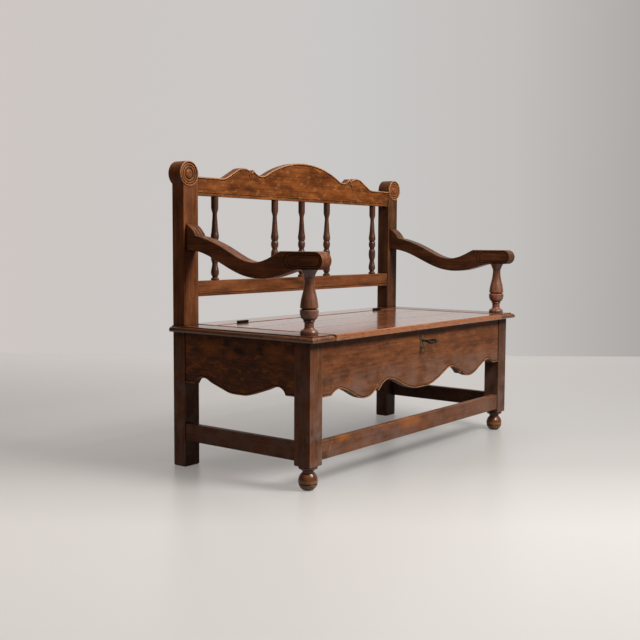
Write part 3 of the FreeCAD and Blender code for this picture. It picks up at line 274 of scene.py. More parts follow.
def wax_in_a_groove():
    """Old wax and dust that fill a carved line: nearly black brown and dull, as nothing rubs it."""
    material, tree, sockets = principled("wax_in_a_groove", {"Roughness": 0.7, "Specular IOR Level": 0.1})
    place = add(tree, "TexCoord", output="Object")
    crumbs = add(tree, "TexNoise", {"Vector": place, "Scale": 300.0, "Detail": 2.0})
    wax = add(tree, "Mix", {0: crumbs, 6: linear("1d0f08"), 7: linear("35200f")}, 2, data_type="RGBA")
    tree.links.new(wax, sockets["Base Color"])
    return material


def bare_oak():
    """Unpolished oak inside the chest: pale brown, dry and dull, with open grain."""
    material, tree, sockets = principled("bare_oak", {"Roughness": 0.75})
    place = add(tree, "TexCoord", output="Object")
    clouds = add(tree, "Math", [pattern(tree, place, 160, 50, X), 0.45], operation="MULTIPLY")
    streaks = pattern(tree, place, 180, 4.5, X, detail=4.0, shift=4.0)
    tone = add(tree, "Math", [streaks, 0.55, clouds], operation="MULTIPLY_ADD")
    wood = add(tree, "ValToRGB", [tone], stops=[(0.32, "4f3622"), (0.50, "775436"), (0.68, "93704a")])
    tree.links.new(wood, sockets["Base Color"])
    bump = add(tree, "Bump", {"Height": streaks, "Strength": 0.6, "Distance": 0.6 * MM})
    tree.links.new(bump, sockets["Normal"])
    return material


def old_metal(name, bright, dark, rough, cover, patch_mm=6.0):
    """Old metal: handled metal shows on the high places, and a dull skin of age covers the rest."""
    material, tree, sockets = principled(name, {"Metallic": 1.0})
    place = add(tree, "TexCoord", output="Object")
    skin = add(tree, "TexNoise", {"Vector": place, "Scale": 1 / (patch_mm * MM), "Detail": 5.0,
                                  "Roughness": 0.65})
    share = add(tree, "MapRange", [skin, 0.62 - cover * 0.25, 0.72 - cover * 0.25])
    tint = add(tree, "Mix", {0: share, 6: linear(bright), 7: linear(dark)}, 2, data_type="RGBA")
    tree.links.new(tint, sockets["Base Color"])
    tree.links.new(add(tree, "MapRange", [share, 0.0, 1.0, rough, rough + 0.25]), sockets["Roughness"])
    pits = add(tree, "TexNoise", {"Vector": place, "Scale": 900.0, "Detail": 2.0})
    bump = add(tree, "Bump", {"Height": pits, "Strength": 0.35, "Distance": 0.3 * MM})
    tree.links.new(bump, sockets["Normal"])
    return material


# Tones of stain as sRGB: the dark, middle and light of the figure, and the bare wood of rubbed edges.
BODY_TONES = dict(dark="39200f", mid="6c3d21", light="8b5530", worn="a8683c")
SIDE_TONES = dict(dark="331b0e", mid="64381e", light="85502c", worn="a5612f")
PAINTED_SHADE_TONES = dict(dark="2c180d", mid="50301d", light="6e4529", worn="8f5833")
# Painted shade: a darker copy of the body tones, for the right-hand uprights and the right arm.
CREST_TONES = dict(dark="361a0a", mid="6c3814", light="935626", worn="b37740")
SPINDLE_TONES = dict(dark="2a170d", mid="4d2d1c", light="6c4128", worn="8a5634")
TURNED_TONES = dict(dark="41271a", mid="724631", light="915f46", worn="a9744f")
ROLL_TONES = dict(dark="5a2f17", mid="874d27", light="a66636", worn="c98b55")
DARK_MARK, WARM_MARK = "120805", "9a5a2a"

SEAT_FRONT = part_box("seat_lid")[0].y
# Knots and worn spots: place and size in mm, colour and strength.
APRON_MARKS = [((-602, 94, 383), 13, DARK_MARK, 0.8), ((-602, 77, 405), 10, DARK_MARK, 0.8),
               ((-602, 28, 390), 17, DARK_MARK, 0.9), ((-602, 10, 382), 9, DARK_MARK, 0.8),
               ((-602, -60, 398), 12, DARK_MARK, 0.9), ((-602, -66, 384), 8, DARK_MARK, 0.7),
               ((-602, 132, 386), 26, WARM_MARK, 0.5), ((-602, -118, 398), 24, WARM_MARK, 0.6),
               ((-602, -174, 385), 13, WARM_MARK, 0.7), ((-602, 55, 372), 18, WARM_MARK, 0.5)]
ARM_MARKS = [((551, -137, 600), 15, DARK_MARK, 0.9), ((551, -171, 604), 17, WARM_MARK, 0.8)]
STRETCHER_MARKS = [((-437, -247, 138), 24, WARM_MARK, 0.9), ((-82, -247, 131), 34, WARM_MARK, 0.8),
                   ((-30, -247, 128), 22, WARM_MARK, 0.7), ((-250, -247, 118), 16, DARK_MARK, 0.3)]
# Rubbed rings of the feet: from and to which height in mm, colour and strength.
FOOT_BANDS = [(3, 17, "8d6333", 0.8), (21, 31, "9a6230", 0.7)]

oak_along_x = stained_oak("stained_oak_long_boards", X, **BODY_TONES)
oak_apron = stained_oak("stained_oak_front_apron", X, **BODY_TONES, haze=(350, 285), mottle=0.25)
oak_stretcher = stained_oak("stained_oak_front_stretcher", X, **BODY_TONES, haze=(160, 120),
                            marks=STRETCHER_MARKS)
oak_along_y = stained_oak("stained_oak_side_boards", Y, **SIDE_TONES, haze=(200, 130))
oak_side_apron = stained_oak("stained_oak_side_aprons", Y, **SIDE_TONES, mottle=0.55, marks=APRON_MARKS)
oak_upright = stained_oak("stained_oak_uprights", Z, **BODY_TONES, haze=(450, 200), hazy=0.95)
# The right-hand legs and post take the darker tones: painted shade.
oak_upright_painted_shade = stained_oak("stained_oak_uprights_with_painted_shade", Z, **PAINTED_SHADE_TONES, haze=(420, 200))
oak_spindle = stained_oak("stained_oak_spindles", Z, **SPINDLE_TONES, gloss=0.3, shine=0.4)
oak_turned = stained_oak("stained_oak_balusters", Z, **TURNED_TONES, gloss=0.27, shine=0.5)
oak_foot = stained_oak("stained_oak_ball_feet", Z, **BODY_TONES, gloss=0.25, shine=0.5, bands=FOOT_BANDS)
oak_crest = stained_oak("stained_oak_crest", X, **CREST_TONES, rub_mm=4.0, mottle=0.3)
# The right arm takes the darker tones, which are painted shade, as well as its real knot and worn spot.
ARM_FINISH = {"left": stained_oak("stained_oak_left_arm", Y, **BODY_TONES, gloss=0.34),
              "right": stained_oak("stained_oak_right_arm_with_painted_shade", Y, **PAINTED_SHADE_TONES, gloss=0.34, marks=ARM_MARKS)}
oak_roll = stained_oak("stained_oak_carved_rolls", Z, **ROLL_TONES, rub_mm=2.0)
crest_bead = stained_oak("rubbed_bead_of_the_crest", X, dark="7d4c2a", mid="a87145", light="c08a5a",
                         worn="cc9868")
apron_bead = stained_oak("rubbed_bead_of_the_aprons", X, dark="6d4126", mid="93603b", light="ab744a",
                         worn="bd8452")
oak_lid = stained_oak("polished_oak_lid", X, dark="57301b", mid="86492a", light="a46136", worn="a05f31",
                      gloss=0.22, shine=0.6, polish=0.85, relief=0.12, worn_front=SEAT_FRONT)
oak_seat_ends = stained_oak("polished_oak_seat_ends", Y, **BODY_TONES, gloss=0.26, shine=0.4, polish=0.5,
                            relief=0.2)
UPRIGHT_FINISH = {"left": oak_upright, "right": oak_upright_painted_shade}
groove_wax = wax_in_a_groove()
fresh_scratch = stained_oak("fresh_scratch", Z, dark="a87f5c", mid="c49a72", light="d3ab82", worn="d3ab82")
inner_oak = bare_oak()
brass = old_metal("patinated_brass", "a89668", "3a3626", 0.3, 0.6, patch_mm=4.0)
key_iron = old_metal("worn_key_iron", "4a4744", "241d19", 0.38, 0.5)
hinge_iron = old_metal("rusty_hinge_iron", "3b3029", "2b1a12", 0.5, 0.8)
lock_steel = old_metal("oiled_lock_steel", "7d7c78", "45403a", 0.3, 0.4)
screw_steel = old_metal("steel_screws", "8b8982", "4a443c", 0.32, 0.4)


# Carving


def loose_copy(node):
    """A copy of one fixed piece, with its loose triangles merged."""
    piece = placed(node + "_finished", frame["nodes"][node].data.copy())
    select_only(piece)
    bpy.ops.mesh.customdata_custom_splitnormals_clear()
    edit(piece, (bpy.ops.mesh.remove_doubles, {"threshold": SAME_POINT}))
    return piece


def whole_faces(piece, turn_degrees=0.5):
    """Joins the triangles of each flat face, or nearly flat one, into one face."""
    edit(piece, (bpy.ops.mesh.dissolve_limited, {"angle_limit": math.radians(turn_degrees)}))


def soften(piece, wide_mm=1.2, segments=2, sharper_than=32):
    """Rounds the sharp edges as handling does."""
    apply_modifier(piece, "BEVEL", width=wide_mm * MM, segments=segments, limit_method="ANGLE",
                   angle_limit=math.radians(sharper_than), use_clamp_overlap=False)


def smooth(piece, sharper_than=38):
    """Smooth shading that keeps the flat faces flat."""
    select_only(piece)
    bpy.ops.object.shade_smooth_by_angle(angle=math.radians(sharper_than))
    apply_modifier(piece, "WEIGHTED_NORMAL", keep_sharp=True)


def rims(piece, axis, place, keep):
    """Points in order along each stretch of a flat face's rim, as far as keep allows, the longest first."""
    mesh = piece.data
    flat = [face for face in mesh.polygons
            if abs(abs(face.normal[axis]) - 1) < 1e-3 and abs(face.center[axis] - place) < 2 * HAIR]
    times_used = Counter(edge for face in flat for edge in face.edge_keys)
    beside = {}
    for edge, count in times_used.items():
        ends = [mesh.vertices[i].co for i in edge]
        if count == 1 and all(keep(end) for end in ends):
            for one, other in (edge, edge[::-1]):
                beside.setdefault(one, []).append(other)
    found = []
    starts = [one for one, others in beside.items() if len(others) == 1]
    while starts:
        walk = [starts.pop(0)]
        while True:
            onward = [other for other in beside[walk[-1]] if other not in walk[-2:]]
            if not onward:
                break
            walk.append(onward[0])
        if walk[-1] in starts:
            starts.remove(walk[-1])
        found.append([mesh.vertices[i].co.copy() for i in walk])
    return sorted(found, key=len, reverse=True)


def evenly(points, step):
    """The same line with its points a step apart."""
    lengths = [0.0]
    for one, other in zip(points, points[1:]):
        lengths.append(lengths[-1] + (other - one).length)
    count = max(2, round(lengths[-1] / step))
    result = []
    index = 0
    for number in range(count + 1):
        along = lengths[-1] * number / count
        while index < len(points) - 2 and lengths[index + 1] < along:
            index += 1
        span = max(lengths[index + 1] - lengths[index], 1e-9)
        result.append(points[index].lerp(points[index + 1], min(1.0, (along - lengths[index]) / span)))
    return result


def offset(points, distance, axis, towards):
    """A line beside another in the same plane, on the side that lies towards a direction."""
    across = Vector([1.0 if i == axis else 0.0 for i in range(3)])
    normals = []
    for number, point in enumerate(points):
        before = points[max(0, number - 1)]
        after = points[min(len(points) - 1, number + 1)]
        normals.append((after - before).cross(across).normalized())
    if sum(normal.dot(towards) for normal in normals) < 0:
        normals = [-normal for normal in normals]
    return [point + normal * distance for point, normal in zip(points, normals)]


def swept(points, radius, resolution=2):
    """A round bar along a line, to cut a groove with. It closes on itself where the line does."""
    data = bpy.data.curves.new("cutter", "CURVE")
    data.dimensions = "3D"
    data.bevel_depth = radius
    data.bevel_resolution = resolution
    data.use_fill_caps = True
    closed = (points[0] - points[-1]).length < HAIR
    if closed:
        points = points[:-1]
    spline = data.splines.new("POLY")
    spline.use_cyclic_u = closed
    spline.points.add(len(points) - 1)
    for target, point in zip(spline.points, points):
        target.co = (*point, 1.0)
    select_only(placed("cutter", data))
    bpy.ops.object.convert(target="MESH")
    bar = bpy.context.view_layer.objects.active
    closed_and_outwards(bar)
    return bar


def combine(piece, tools, how="DIFFERENCE", finish=None):
    """Cuts tools out of a piece or adds them to it, and removes them."""
    for tool in tools:
        if finish:
            only_material(tool, finish)
        apply_modifier(piece, "BOOLEAN", operation=how, object=tool, solver="MANIFOLD",
                       material_mode="TRANSFER")
        bpy.data.objects.remove(tool)


def groove(piece, *lines, radius=1.3, finish=None):
    """Carves fine lines into a piece, which then hold dark wax."""
    combine(piece, [swept(line, radius * MM) for line in lines], finish=finish or groove_wax)


def bead(piece, finish, *lines, radius=2.0):
    """Lays fine raised beads on a piece."""
    combine(piece, [swept(line, radius * MM, 3) for line in lines], "UNION", finish)


def round_edges(piece, wide_mm, chosen, segments=4):
    """Rounds the edges whose two ends a test accepts, wider than the others."""
    weights = piece.data.attributes.new("bevel_weight_edge", "FLOAT", "EDGE")
    for edge in piece.data.edges:
        if all(chosen(piece.data.vertices[i].co) for i in edge.vertices):
            weights.data[edge.index].value = 1.0
    apply_modifier(piece, "BEVEL", width=wide_mm * MM, segments=segments, limit_method="WEIGHT",
                   use_clamp_overlap=False)
    piece.data.attributes.remove(piece.data.attributes["bevel_weight_edge"])


def curl(eye, axis, radius, start, turns, depth_place, shrink=0.35):
    """A spiral line about an eye, for a small carved volute."""
    steps = int(abs(turns) * 32)
    points = []
    for number in range(steps + 1):
        share = number / steps
        angle = math.radians(start) + share * turns * 2 * math.pi
        reach = radius * (1 - (1 - shrink) * share)
        place = [eye[0] + reach * math.cos(angle), eye[1] + reach * math.sin(angle)]
        place.insert(axis, depth_place)
        points.append(Vector(place))
    return points


def circle(eye, axis, radius, depth_place):
    return curl(eye, axis, radius, 0, 1, depth_place, 1.0)


def turned(profile, centre, axis_turn, steps=72):
    """A solid of revolution from (radius, height) points, turned onto its axis."""
    data = bpy.data.meshes.new("turned")
    data.from_pydata([(radius, 0, height) for radius, height in profile],
                     [(i, i + 1) for i in range(len(profile) - 1)], [])
    piece = placed("turned", data)
    apply_modifier(piece, "SCREW", axis="Z", angle=2 * math.pi, steps=steps, render_steps=steps,
                   use_merge_vertices=True, merge_threshold=SAME_POINT)
    piece.data.transform(Matrix.Translation(centre) @ axis_turn)
    closed_and_outwards(piece)
    return piece


def hand_in(piece, node, finish):
    """Puts a copy's own finish before those of its carving, and lets it stand for its plain piece."""
    if not piece.data.materials or piece.data.materials[0] is not finish:
        old = list(piece.data.materials)
        piece.data.materials.clear()
        piece.data.materials.append(finish)
        for extra in old[1:]:
            piece.data.materials.append(extra)
    body = frame["nodes"][node]["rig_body"]
    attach(piece, body)
    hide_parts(node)


def start(node, finish, wide_mm=1.2, segments=2, turn_degrees=0.5, sharper_than=32):
    """A copy with whole faces, softened edges and its finish, ready to carve."""
    piece = loose_copy(node)
    whole_faces(piece, turn_degrees)
    if wide_mm:
        soften(piece, wide_mm, segments, sharper_than)
    only_material(piece, finish)
    return piece


# Crest rail

# How far the bead and the lines lie from the edges, and where the volutes' eyes are, in mm.
CREST_BEAD = 3.0
CREST_TOP_LINE = 6.6
CREST_LOW_LINE = 9.0
VOLUTE_X, VOLUTE_UP = 291.0, 934.0
LOW_RAIL_LINE = 9.0
LINE_STEP = 5 * MM


def make_crest():
    piece = start("crest_rail", oak_crest, 0)
    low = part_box("crest_rail")[0]
    post_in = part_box("rear_post_right")[0].x
    face = low.y
    top = rims(piece, Y, face, lambda p: p.z > low.z + 20 * MM and abs(p.x) < post_in + 1 * MM)[0]
    if top[0].x > top[-1].x:
        top.reverse()
    soften(piece, 1.6, 3)
    edge = evenly(top, LINE_STEP)
    lines = []
    for inset_by, gap in ((CREST_BEAD, 1.5), (CREST_TOP_LINE, 8.0)):
        beside = offset(edge, inset_by * MM, Y, -UP)
        for side in SIDES.values():
            lines.append([p for p in beside if p.x * side > (VOLUTE_X + gap) * MM])
        lines.append([p for p in beside if abs(p.x) < (VOLUTE_X - gap) * MM])
    beads, cuts = lines[:3], lines[3:]
    straight_up = low.z + CREST_LOW_LINE * MM
    cuts.append([Vector((-post_in, face, straight_up)), Vector((post_in, face, straight_up))])
    eyes = []
    for side in SIDES.values():
        eye = (side * VOLUTE_X * MM, VOLUTE_UP * MM)
        begin = 90 - side * 30
        cuts.append(curl(eye, Y, 9.5 * MM, begin, side * 1.2, face, 0.45))
        eyes.append(curl(eye, Y, 6.4 * MM, begin, side * 1.2, face, 0.2))
    groove(piece, *cuts, radius=1.3)
    bead(piece, crest_bead, *beads, radius=2.3)
    bead(piece, oak_roll, *eyes, radius=2.0)
    smooth(piece)
    hand_in(piece, "crest_rail", oak_crest)


def make_low_rail():
    piece = start("lower_back_rail", oak_along_x)
    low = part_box("lower_back_rail")[0]
    post_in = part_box("rear_post_right")[0].x
    height = low.z + LOW_RAIL_LINE * MM
    groove(piece, [Vector((-post_in, low.y, height)), Vector((post_in, low.y, height))])
    smooth(piece)
    hand_in(piece, "lower_back_rail", oak_along_x)


# Rear posts with carved rolls

ROLL_X, ROLL_UP = 581.5, 926.0
# The carved face of a roll: radius, and depth from the post's front, in mm.
ROLL_FACE = [(39.5, 1.0), (39.5, -1.2), (38.6, -2.3), (36.8, -2.8), (35.0, -2.3), (34.0, -0.9),
             (33.0, -0.6), (31.8, -1.6), (29.6, -2.5), (27.2, -2.3), (25.8, -0.9), (24.8, -0.5), (23.6, -1.6),
             (21.4, -2.4), (19.0, -2.0), (17.6, -0.7), (16.0, -0.4), (14.6, -1.6), (12.4, -3.3),
             (9.0, -4.6), (6.0, -5.0), (4.2, -4.6), (2.4, -3.4), (0.0, -3.0)]
# Radii of its waxed lines and of the bead around it.
ROLL_LINES = (33.4, 25.2, 16.8)
ROLL_RIM = 37.0


def make_post(hand):
    node = "rear_post_" + hand
    side = SIDES[hand]
    finish = UPRIGHT_FINISH[hand]
    piece = start(node, finish, 0)
    round_edges(piece, 3.5, lambda p: p.z < 0.1 * MM, 2)
    soften(piece, 1.3, 2)
    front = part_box(node)[0].y
    profile = [(radius * MM, height * MM) for radius, height in ROLL_FACE]
    back = [(0.0, profile[0][1])]
    forwards = Matrix.Rotation(math.radians(-90), 4, "X")
    eye = (side * ROLL_X * MM, ROLL_UP * MM)
    disc = turned(back + profile, Vector((eye[0], front, eye[1])), forwards)
    combine(piece, [disc], "UNION", oak_roll)
    groove(piece, *[circle(eye, Y, radius * MM, front - 1.2 * MM) for radius in ROLL_LINES], radius=1.5)
    bead(piece, crest_bead, circle(eye, Y, ROLL_RIM * MM, front - 1.9 * MM), radius=1.7)
    smooth(piece)
    hand_in(piece, node, finish)


# Arms

ARM_EDGE = 3.0
# Where the carved scroll at the rear starts, before the post and above the floor, and how deep the nose is.
SCROLL_BEFORE_POST, SCROLL_UP, NOSE_DEEP = 46.0, 728.0, 27.0
FLUTE_SHARES, FLUTE_RADIUS = (0.2, 0.5, 0.8), 5.0
# Each line on the side of a hand rest: front, rear, low and high.
HAND_REST_LINES = ((-281.0, -145.0, 640.0, 683.5), (-275.5, -157.0, 646.0, 677.5))


def make_arm(hand):
    node = "arm_" + hand
    finish = ARM_FINISH[hand]
    piece = start(node, finish, 0)
    low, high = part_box(node)
    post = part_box("rear_post_" + hand)[0].y
    scroll = rims(piece, X, low.x,
                  lambda p: p.y > post - SCROLL_BEFORE_POST * MM and p.z > SCROLL_UP * MM)[0]
    nose = rims(piece, X, low.x, lambda p: p.y < low.y + NOSE_DEEP * MM)[0]
    soften(piece, ARM_EDGE, 4)
    cuts = [stadium(place, *[at * MM for at in line])
            for place in (low.x, high.x) for line in HAND_REST_LINES]
    groove(piece, *cuts, radius=1.8)
    flutes = []
    for share in FLUTE_SHARES:
        x = low.x + (high.x - low.x) * share
        for rim, out_by, away in ((scroll, 2.6, Vector((0, -1, 1))), (nose, 3.8, Vector((0, -1, 0)))):
            line = offset(evenly(rim, 3 * MM), out_by * MM, X, away)
            flutes.append(swept([Vector((x, p.y, p.z)) for p in line], FLUTE_RADIUS * MM, 4))
    combine(piece, flutes, finish=finish)
    smooth(piece)
    hand_in(piece, node, finish)


def stadium(place, front, back, low, high):
    """A closed oval line with straight sides on the side face of an arm."""
    radius = (high - low) / 2
    middle = (high + low) / 2
    points = []
    for centre, begin in ((front + radius, 90), (back - radius, 270)):
        for step in range(13):
            angle = math.radians(begin + step * 15)
            along, up = radius * math.cos(angle), radius * math.sin(angle)
            points.append(Vector((place, centre + along, middle + up)))
    points.append(points[0].copy())
    return points


# Chest boards

# How far the bead and the line lie from the scallops, and under which height the scallops are, in mm.
APRON_BEAD = 2.4
APRON_LINE = 6.0
FRONT_SCALLOPS, SIDE_SCALLOPS = 305.0, 315.0
LEG_LINE_FROM = 270.0
# Place of the small volutes on the front apron: distance from the middle and height.
APRON_VOLUTES = ((262.0, 268.0), (496.0, 293.0))


def make_front_apron():
    node = "front_apron"
    piece = start(node, oak_apron, 0)
    low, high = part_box(node)
    leg_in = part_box("front_leg_right")[0].x
    chains = rims(piece, Y, low.y, lambda p: p.z < FRONT_SCALLOPS * MM and abs(p.x) < leg_in + 1 * MM)
    soften(piece, 1.4, 2)
    edge = evenly(chains[0], LINE_STEP)
    cuts = [offset(edge, APRON_LINE * MM, Y, UP)]
    for side in SIDES.values():
        x = side * (leg_in - 1.2 * MM)
        cuts.append([Vector((x, low.y, LEG_LINE_FROM * MM)), Vector((x, low.y, high.z + 2 * MM))])
    groove(piece, *cuts, radius=1.3)
    bead(piece, apron_bead, offset(edge, APRON_BEAD * MM, Y, UP), radius=2.0)
    eyes = [curl((side * x * MM, z * MM), Y, 7 * MM, -90, side * 1.2, low.y, 0.2)
            for side in SIDES.values() for x, z in APRON_VOLUTES]
    bead(piece, apron_bead, *eyes, radius=1.4)
    smooth(piece)
    hand_in(piece, node, oak_apron)


def make_side_apron(hand):
    node = "side_apron_" + hand
    side = SIDES[hand]
    piece = start(node, oak_side_apron, 0)
    low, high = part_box(node)
    outer = low.x if side < 0 else high.x
    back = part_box("rear_post_" + hand)[0].y
    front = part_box("front_leg_" + hand)[1].y
    chains = rims(piece, X, outer,
                  lambda p: p.z < SIDE_SCALLOPS * MM and front - 1 * MM < p.y < back + 1 * MM)
    soften(piece, 1.4, 2)
    edge = evenly(chains[0], LINE_STEP)
    groove(piece, offset(edge, APRON_LINE * MM, X, UP), radius=1.2)
    bead(piece, apron_bead, offset(edge, APRON_BEAD * MM, X, UP), radius=1.6)
    smooth(piece)
    hand_in(piece, node, oak_side_apron)


# The scratch on the front stretcher: distance from the middle and height, in mm.
SCRATCH = ((-490, 131), (-497, 130.5), (-501, 126), (-503, 119), (-506, 111), (-510, 104))


def make_front_stretcher():
    node = "front_stretcher"
    piece = start(node, oak_stretcher, 1.5, 2)
    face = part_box(node)[0].y
    groove(piece, [Vector((x * MM, face, z * MM)) for x, z in SCRATCH], radius=1.0, finish=fresh_scratch)
    smooth(piece)
    hand_in(piece, node, oak_stretcher)


# Seat

# How wide its rubbed edges and slopes are in mm, and where the planks meet, as shares of the lid's depth.
SEAT_EDGE, SEAT_CORNER = 2.5, 0.6
SIDE_SLOPE, REAR_SLOPE = 22.0, 18.0
PLANK_SEAMS = (0.36, 0.70)


def wear_slope(piece, start_at, end_at, inward, wide_mm, depths_mm):
    """Wears a shallow slope along a top edge, so that the board beyond the seam stands a little proud."""
    corners = []
    for place, depth in zip((start_at, end_at), depths_mm):
        beyond, within = place - inward * MM, place + inward * wide_mm * MM
        corners += [beyond - UP * depth * MM, within, within + UP * MM, beyond + UP * MM]
    data = bpy.data.meshes.new("slope")
    data.from_pydata([tuple(corner) for corner in corners], [],
                     [(0, 1, 2, 3), (4, 7, 6, 5), (0, 4, 5, 1), (1, 5, 6, 2), (2, 6, 7, 3), (3, 7, 4, 0)])
    tool = placed("slope", data)
    edit(tool, (bpy.ops.mesh.normals_make_consistent, {"inside": False}))
    combine(piece, [tool], finish=piece.data.materials[0])


def make_lid():
    node = "seat_lid"
    piece = start(node, oak_lid, 0)
    low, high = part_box(node)
    round_edges(piece, SEAT_EDGE, lambda p: p.z > high.z - HAIR
                and (abs(p.x) > high.x - HAIR or p.y > high.y - HAIR))
    soften(piece, SEAT_CORNER)
    right = Vector((high.x, low.y - MM, high.z)), Vector((high.x, high.y + MM, high.z))
    wear_slope(piece, *right, Vector((-1, 0, 0)), SIDE_SLOPE, (3.0, 0.8))
    rear = Vector((low.x - MM, high.y, high.z)), Vector((high.x + MM, high.y, high.z))
    wear_slope(piece, *rear, Vector((0, -1, 0)), REAR_SLOPE, (2.2, 1.2))
    over = high.z + 0.2 * MM
    for share in PLANK_SEAMS:
        y = low.y + (high.y - low.y) * share
        groove(piece, [Vector((low.x - 2 * MM, y, over)), Vector((high.x + 2 * MM, y, over))], radius=1.2)
    smooth(piece)
    hand_in(piece, node, oak_lid)


def make_seat_end(hand):
    node = "seat_side_board_" + hand
    piece = start(node, oak_seat_ends, 0)
    low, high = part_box(node)
    inner = min(abs(low.x), abs(high.x))
    round_edges(piece, SEAT_EDGE, lambda p: p.z > high.z - HAIR and abs(p.x) < inner + HAIR)
    soften(piece, SEAT_CORNER)
    if hand == "left":
        seam = Vector((high.x, low.y - MM, high.z)), Vector((high.x, high.y + MM, high.z))
        wear_slope(piece, *seam, Vector((-1, 0, 0)), SIDE_SLOPE, (1.0, 3.0))
    smooth(piece)
    hand_in(piece, node, oak_seat_ends)


def make_rear_board():
    node = "seat_rear_board"
    piece = start(node, oak_lid, 0)
    low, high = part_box(node)
    round_edges(piece, SEAT_EDGE, lambda p: p.z > high.z - HAIR and p.y < low.y + HAIR)
    soften(piece, SEAT_CORNER)
    without_slivers(piece)
    smooth(piece)
    hand_in(piece, node, oak_lid)


def make_plain(node, finish, wide_mm=1.2, turn_degrees=0.5):
    """A square-cut piece that only had its edges softened."""
    piece = start(node, finish, wide_mm, 2, turn_degrees)
    smooth(piece)
    hand_in(piece, node, finish)


# Turned pieces, and the others

# How high the turnings stand, and their rings that hold wax: height above that, radius and half width.
SUPPORT_FOOT, SPINDLE_FOOT = 450, 589
SUPPORT_RINGS = [(36.0, 14.0, 1.2), (42.5, 15.3, 1.2), (74.5, 23.1, 2.0), (163.0, 14.6, 1.4)]
SPINDLE_RINGS = [(11.0, 9.5, 1.3), (58.0, 10.2, 1.0), (101.0, 9.9, 1.6), (130.0, 11.3, 1.3)]
BALL_RINGS = [(18.5, 40.0, 2.0)]


def make_turned(node, finish, foot_up=0, rings=()):
    """A turned or rounded piece, kept as it is and smoothed. Its rings are cut deeper and hold wax."""
    piece = loose_copy(node)
    only_material(piece, finish)
    low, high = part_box(node)
    middle = (low + high) / 2
    for up, radius, half_wide in rings:
        groove(piece, circle((middle.x, middle.y), Z, radius * MM, (foot_up + up) * MM), radius=half_wide)
    smooth(piece, 30)
    without_slivers(piece)
    hand_in(piece, node, finish)


make_crest()
make_low_rail()
make_front_apron()
make_lid()
for hand in SIDES:
    make_post(hand)
    make_arm(hand)
    make_side_apron(hand)
    make_plain("front_leg_" + hand, UPRIGHT_FINISH[hand], 1.5)
    make_plain("side_stretcher_" + hand, oak_along_y, 1.5)
    make_seat_end(hand)
    make_turned("arm_support_" + hand, oak_turned, SUPPORT_FOOT, SUPPORT_RINGS)
    make_turned("ball_foot_" + hand, oak_foot, 0, BALL_RINGS)
make_front_stretcher()
make_rear_board()
for number in range(1, 6):
    make_turned("spindle_%d" % number, oak_spindle, SPINDLE_FOOT, SPINDLE_RINGS)
make_turned("key", key_iron)
make_plain("escutcheon", brass, 0.3)
make_turned("escutcheon_pins", brass)

# What stays as it was built only takes a finish.
PLAIN_PIECES = (
    (inner_oak, ("back_panel", "chest_floor", "floor_bearer_back", "floor_bearer_front", "lid_cleat_left",
                 "lid_cleat_right")),
    (lock_steel, ("lock_bolt", "lock_case", "lock_plate", "lock_staple")),
    (screw_steel, ("lock_screws", "cleat_screws", "hinge_screws_fixed", "hinge_screws_lid",
                   "staple_screws")),
    (hinge_iron, ("hinge_fixed_leaf_left", "hinge_fixed_leaf_right", "hinge_lid_leaf_left",
                  "hinge_lid_leaf_right", "hinge_pin_left", "hinge_pin_right")),
)
for finish, nodes in PLAIN_PIECES:
    for node in nodes:
        only_material(frame["nodes"][node], finish)


# Studio

# The camera, as its place in metres, its turns in degrees and its lens. The floor and wall in metres.
CAMERA_PLACE = Vector((-2.68797, -1.89399, 0.71315))
CAMERA_YAW, CAMERA_PITCH, CAMERA_ROLL = 52.309, 4.6725, 0.279
LENS_MM, SENSOR_MM = 53.282, 36.0
FLOOR_RADIUS, WALL_FAR, WALL_HIGH, WALL_HALF_WIDE = 9.0, 5.99, 4.0, 4.5


def make_camera():
    yaw, pitch, roll = (math.radians(a) for a in (CAMERA_YAW, CAMERA_PITCH, CAMERA_ROLL))
    ahead = Vector((math.sin(yaw) * math.cos(pitch), math.cos(yaw) * math.cos(pitch), -math.sin(pitch)))
    right = ahead.cross(UP).normalized()
    over = right.cross(ahead)
    right, over = (right * math.cos(roll) + over * math.sin(roll),
                   over * math.cos(roll) - right * math.sin(roll))
    data = bpy.data.cameras.new("camera")
    data.lens = LENS_MM
    data.sensor_width = SENSOR_MM
    data.sensor_fit = "HORIZONTAL"
    camera = placed("camera", data)
    turn = Matrix((right, over, -ahead)).transposed()
    camera.matrix_world = Matrix.Translation(CAMERA_PLACE) @ turn.to_4x4()
    bpy.context.scene.camera = camera


def seen_straight(tree):
    """1 for the camera, reflections and glass, and 0 for the light that a surface passes on."""
    camera, glossy, through = (add(tree, "LightPath", output="Is %s Ray" % kind)
                               for kind in ("Camera", "Glossy", "Transmission"))
    direct = add(tree, "Math", [camera, glossy], operation="ADD")
    return add(tree, "Math", [direct, through], operation="ADD", use_clamp=True)


def floor_paper(ahead):
    """Smooth pale concrete with a soft sheen. It passes on less light than the camera sees, and for the
    camera it glows with painted light: evenly, and more far off and towards the camera.
    """
    material, tree, sockets = principled("pale_floor", {
        "Roughness": 0.34, "Specular IOR Level": 0.4, "Emission Color": linear("fff8f3")})
    direct = seen_straight(tree)
    tint = add(tree, "Mix", {0: direct, 6: linear("5c5957"), 7: linear("96938f")}, 2, data_type="RGBA")
    tree.links.new(tint, sockets["Base Color"])
    place = add(tree, "TexCoord", output="Object")
    # Painted light: besides an even glow, the floor brightens far off and near the camera.
    away = add(tree, "VectorMath", [place, ahead], "Value", operation="DOT_PRODUCT")
    far = add(tree, "MapRange", [away, 0.3, 2.5, 0.17, 0.34])
    near = add(tree, "MapRange", [away, -0.25, -0.95, 0.0, 0.20])
    painted_floor_light = add(tree, "Math", [far, near], operation="ADD")
    tree.links.new(add(tree, "Math", [direct, painted_floor_light], operation="MULTIPLY"), sockets["Emission Strength"])
    return material


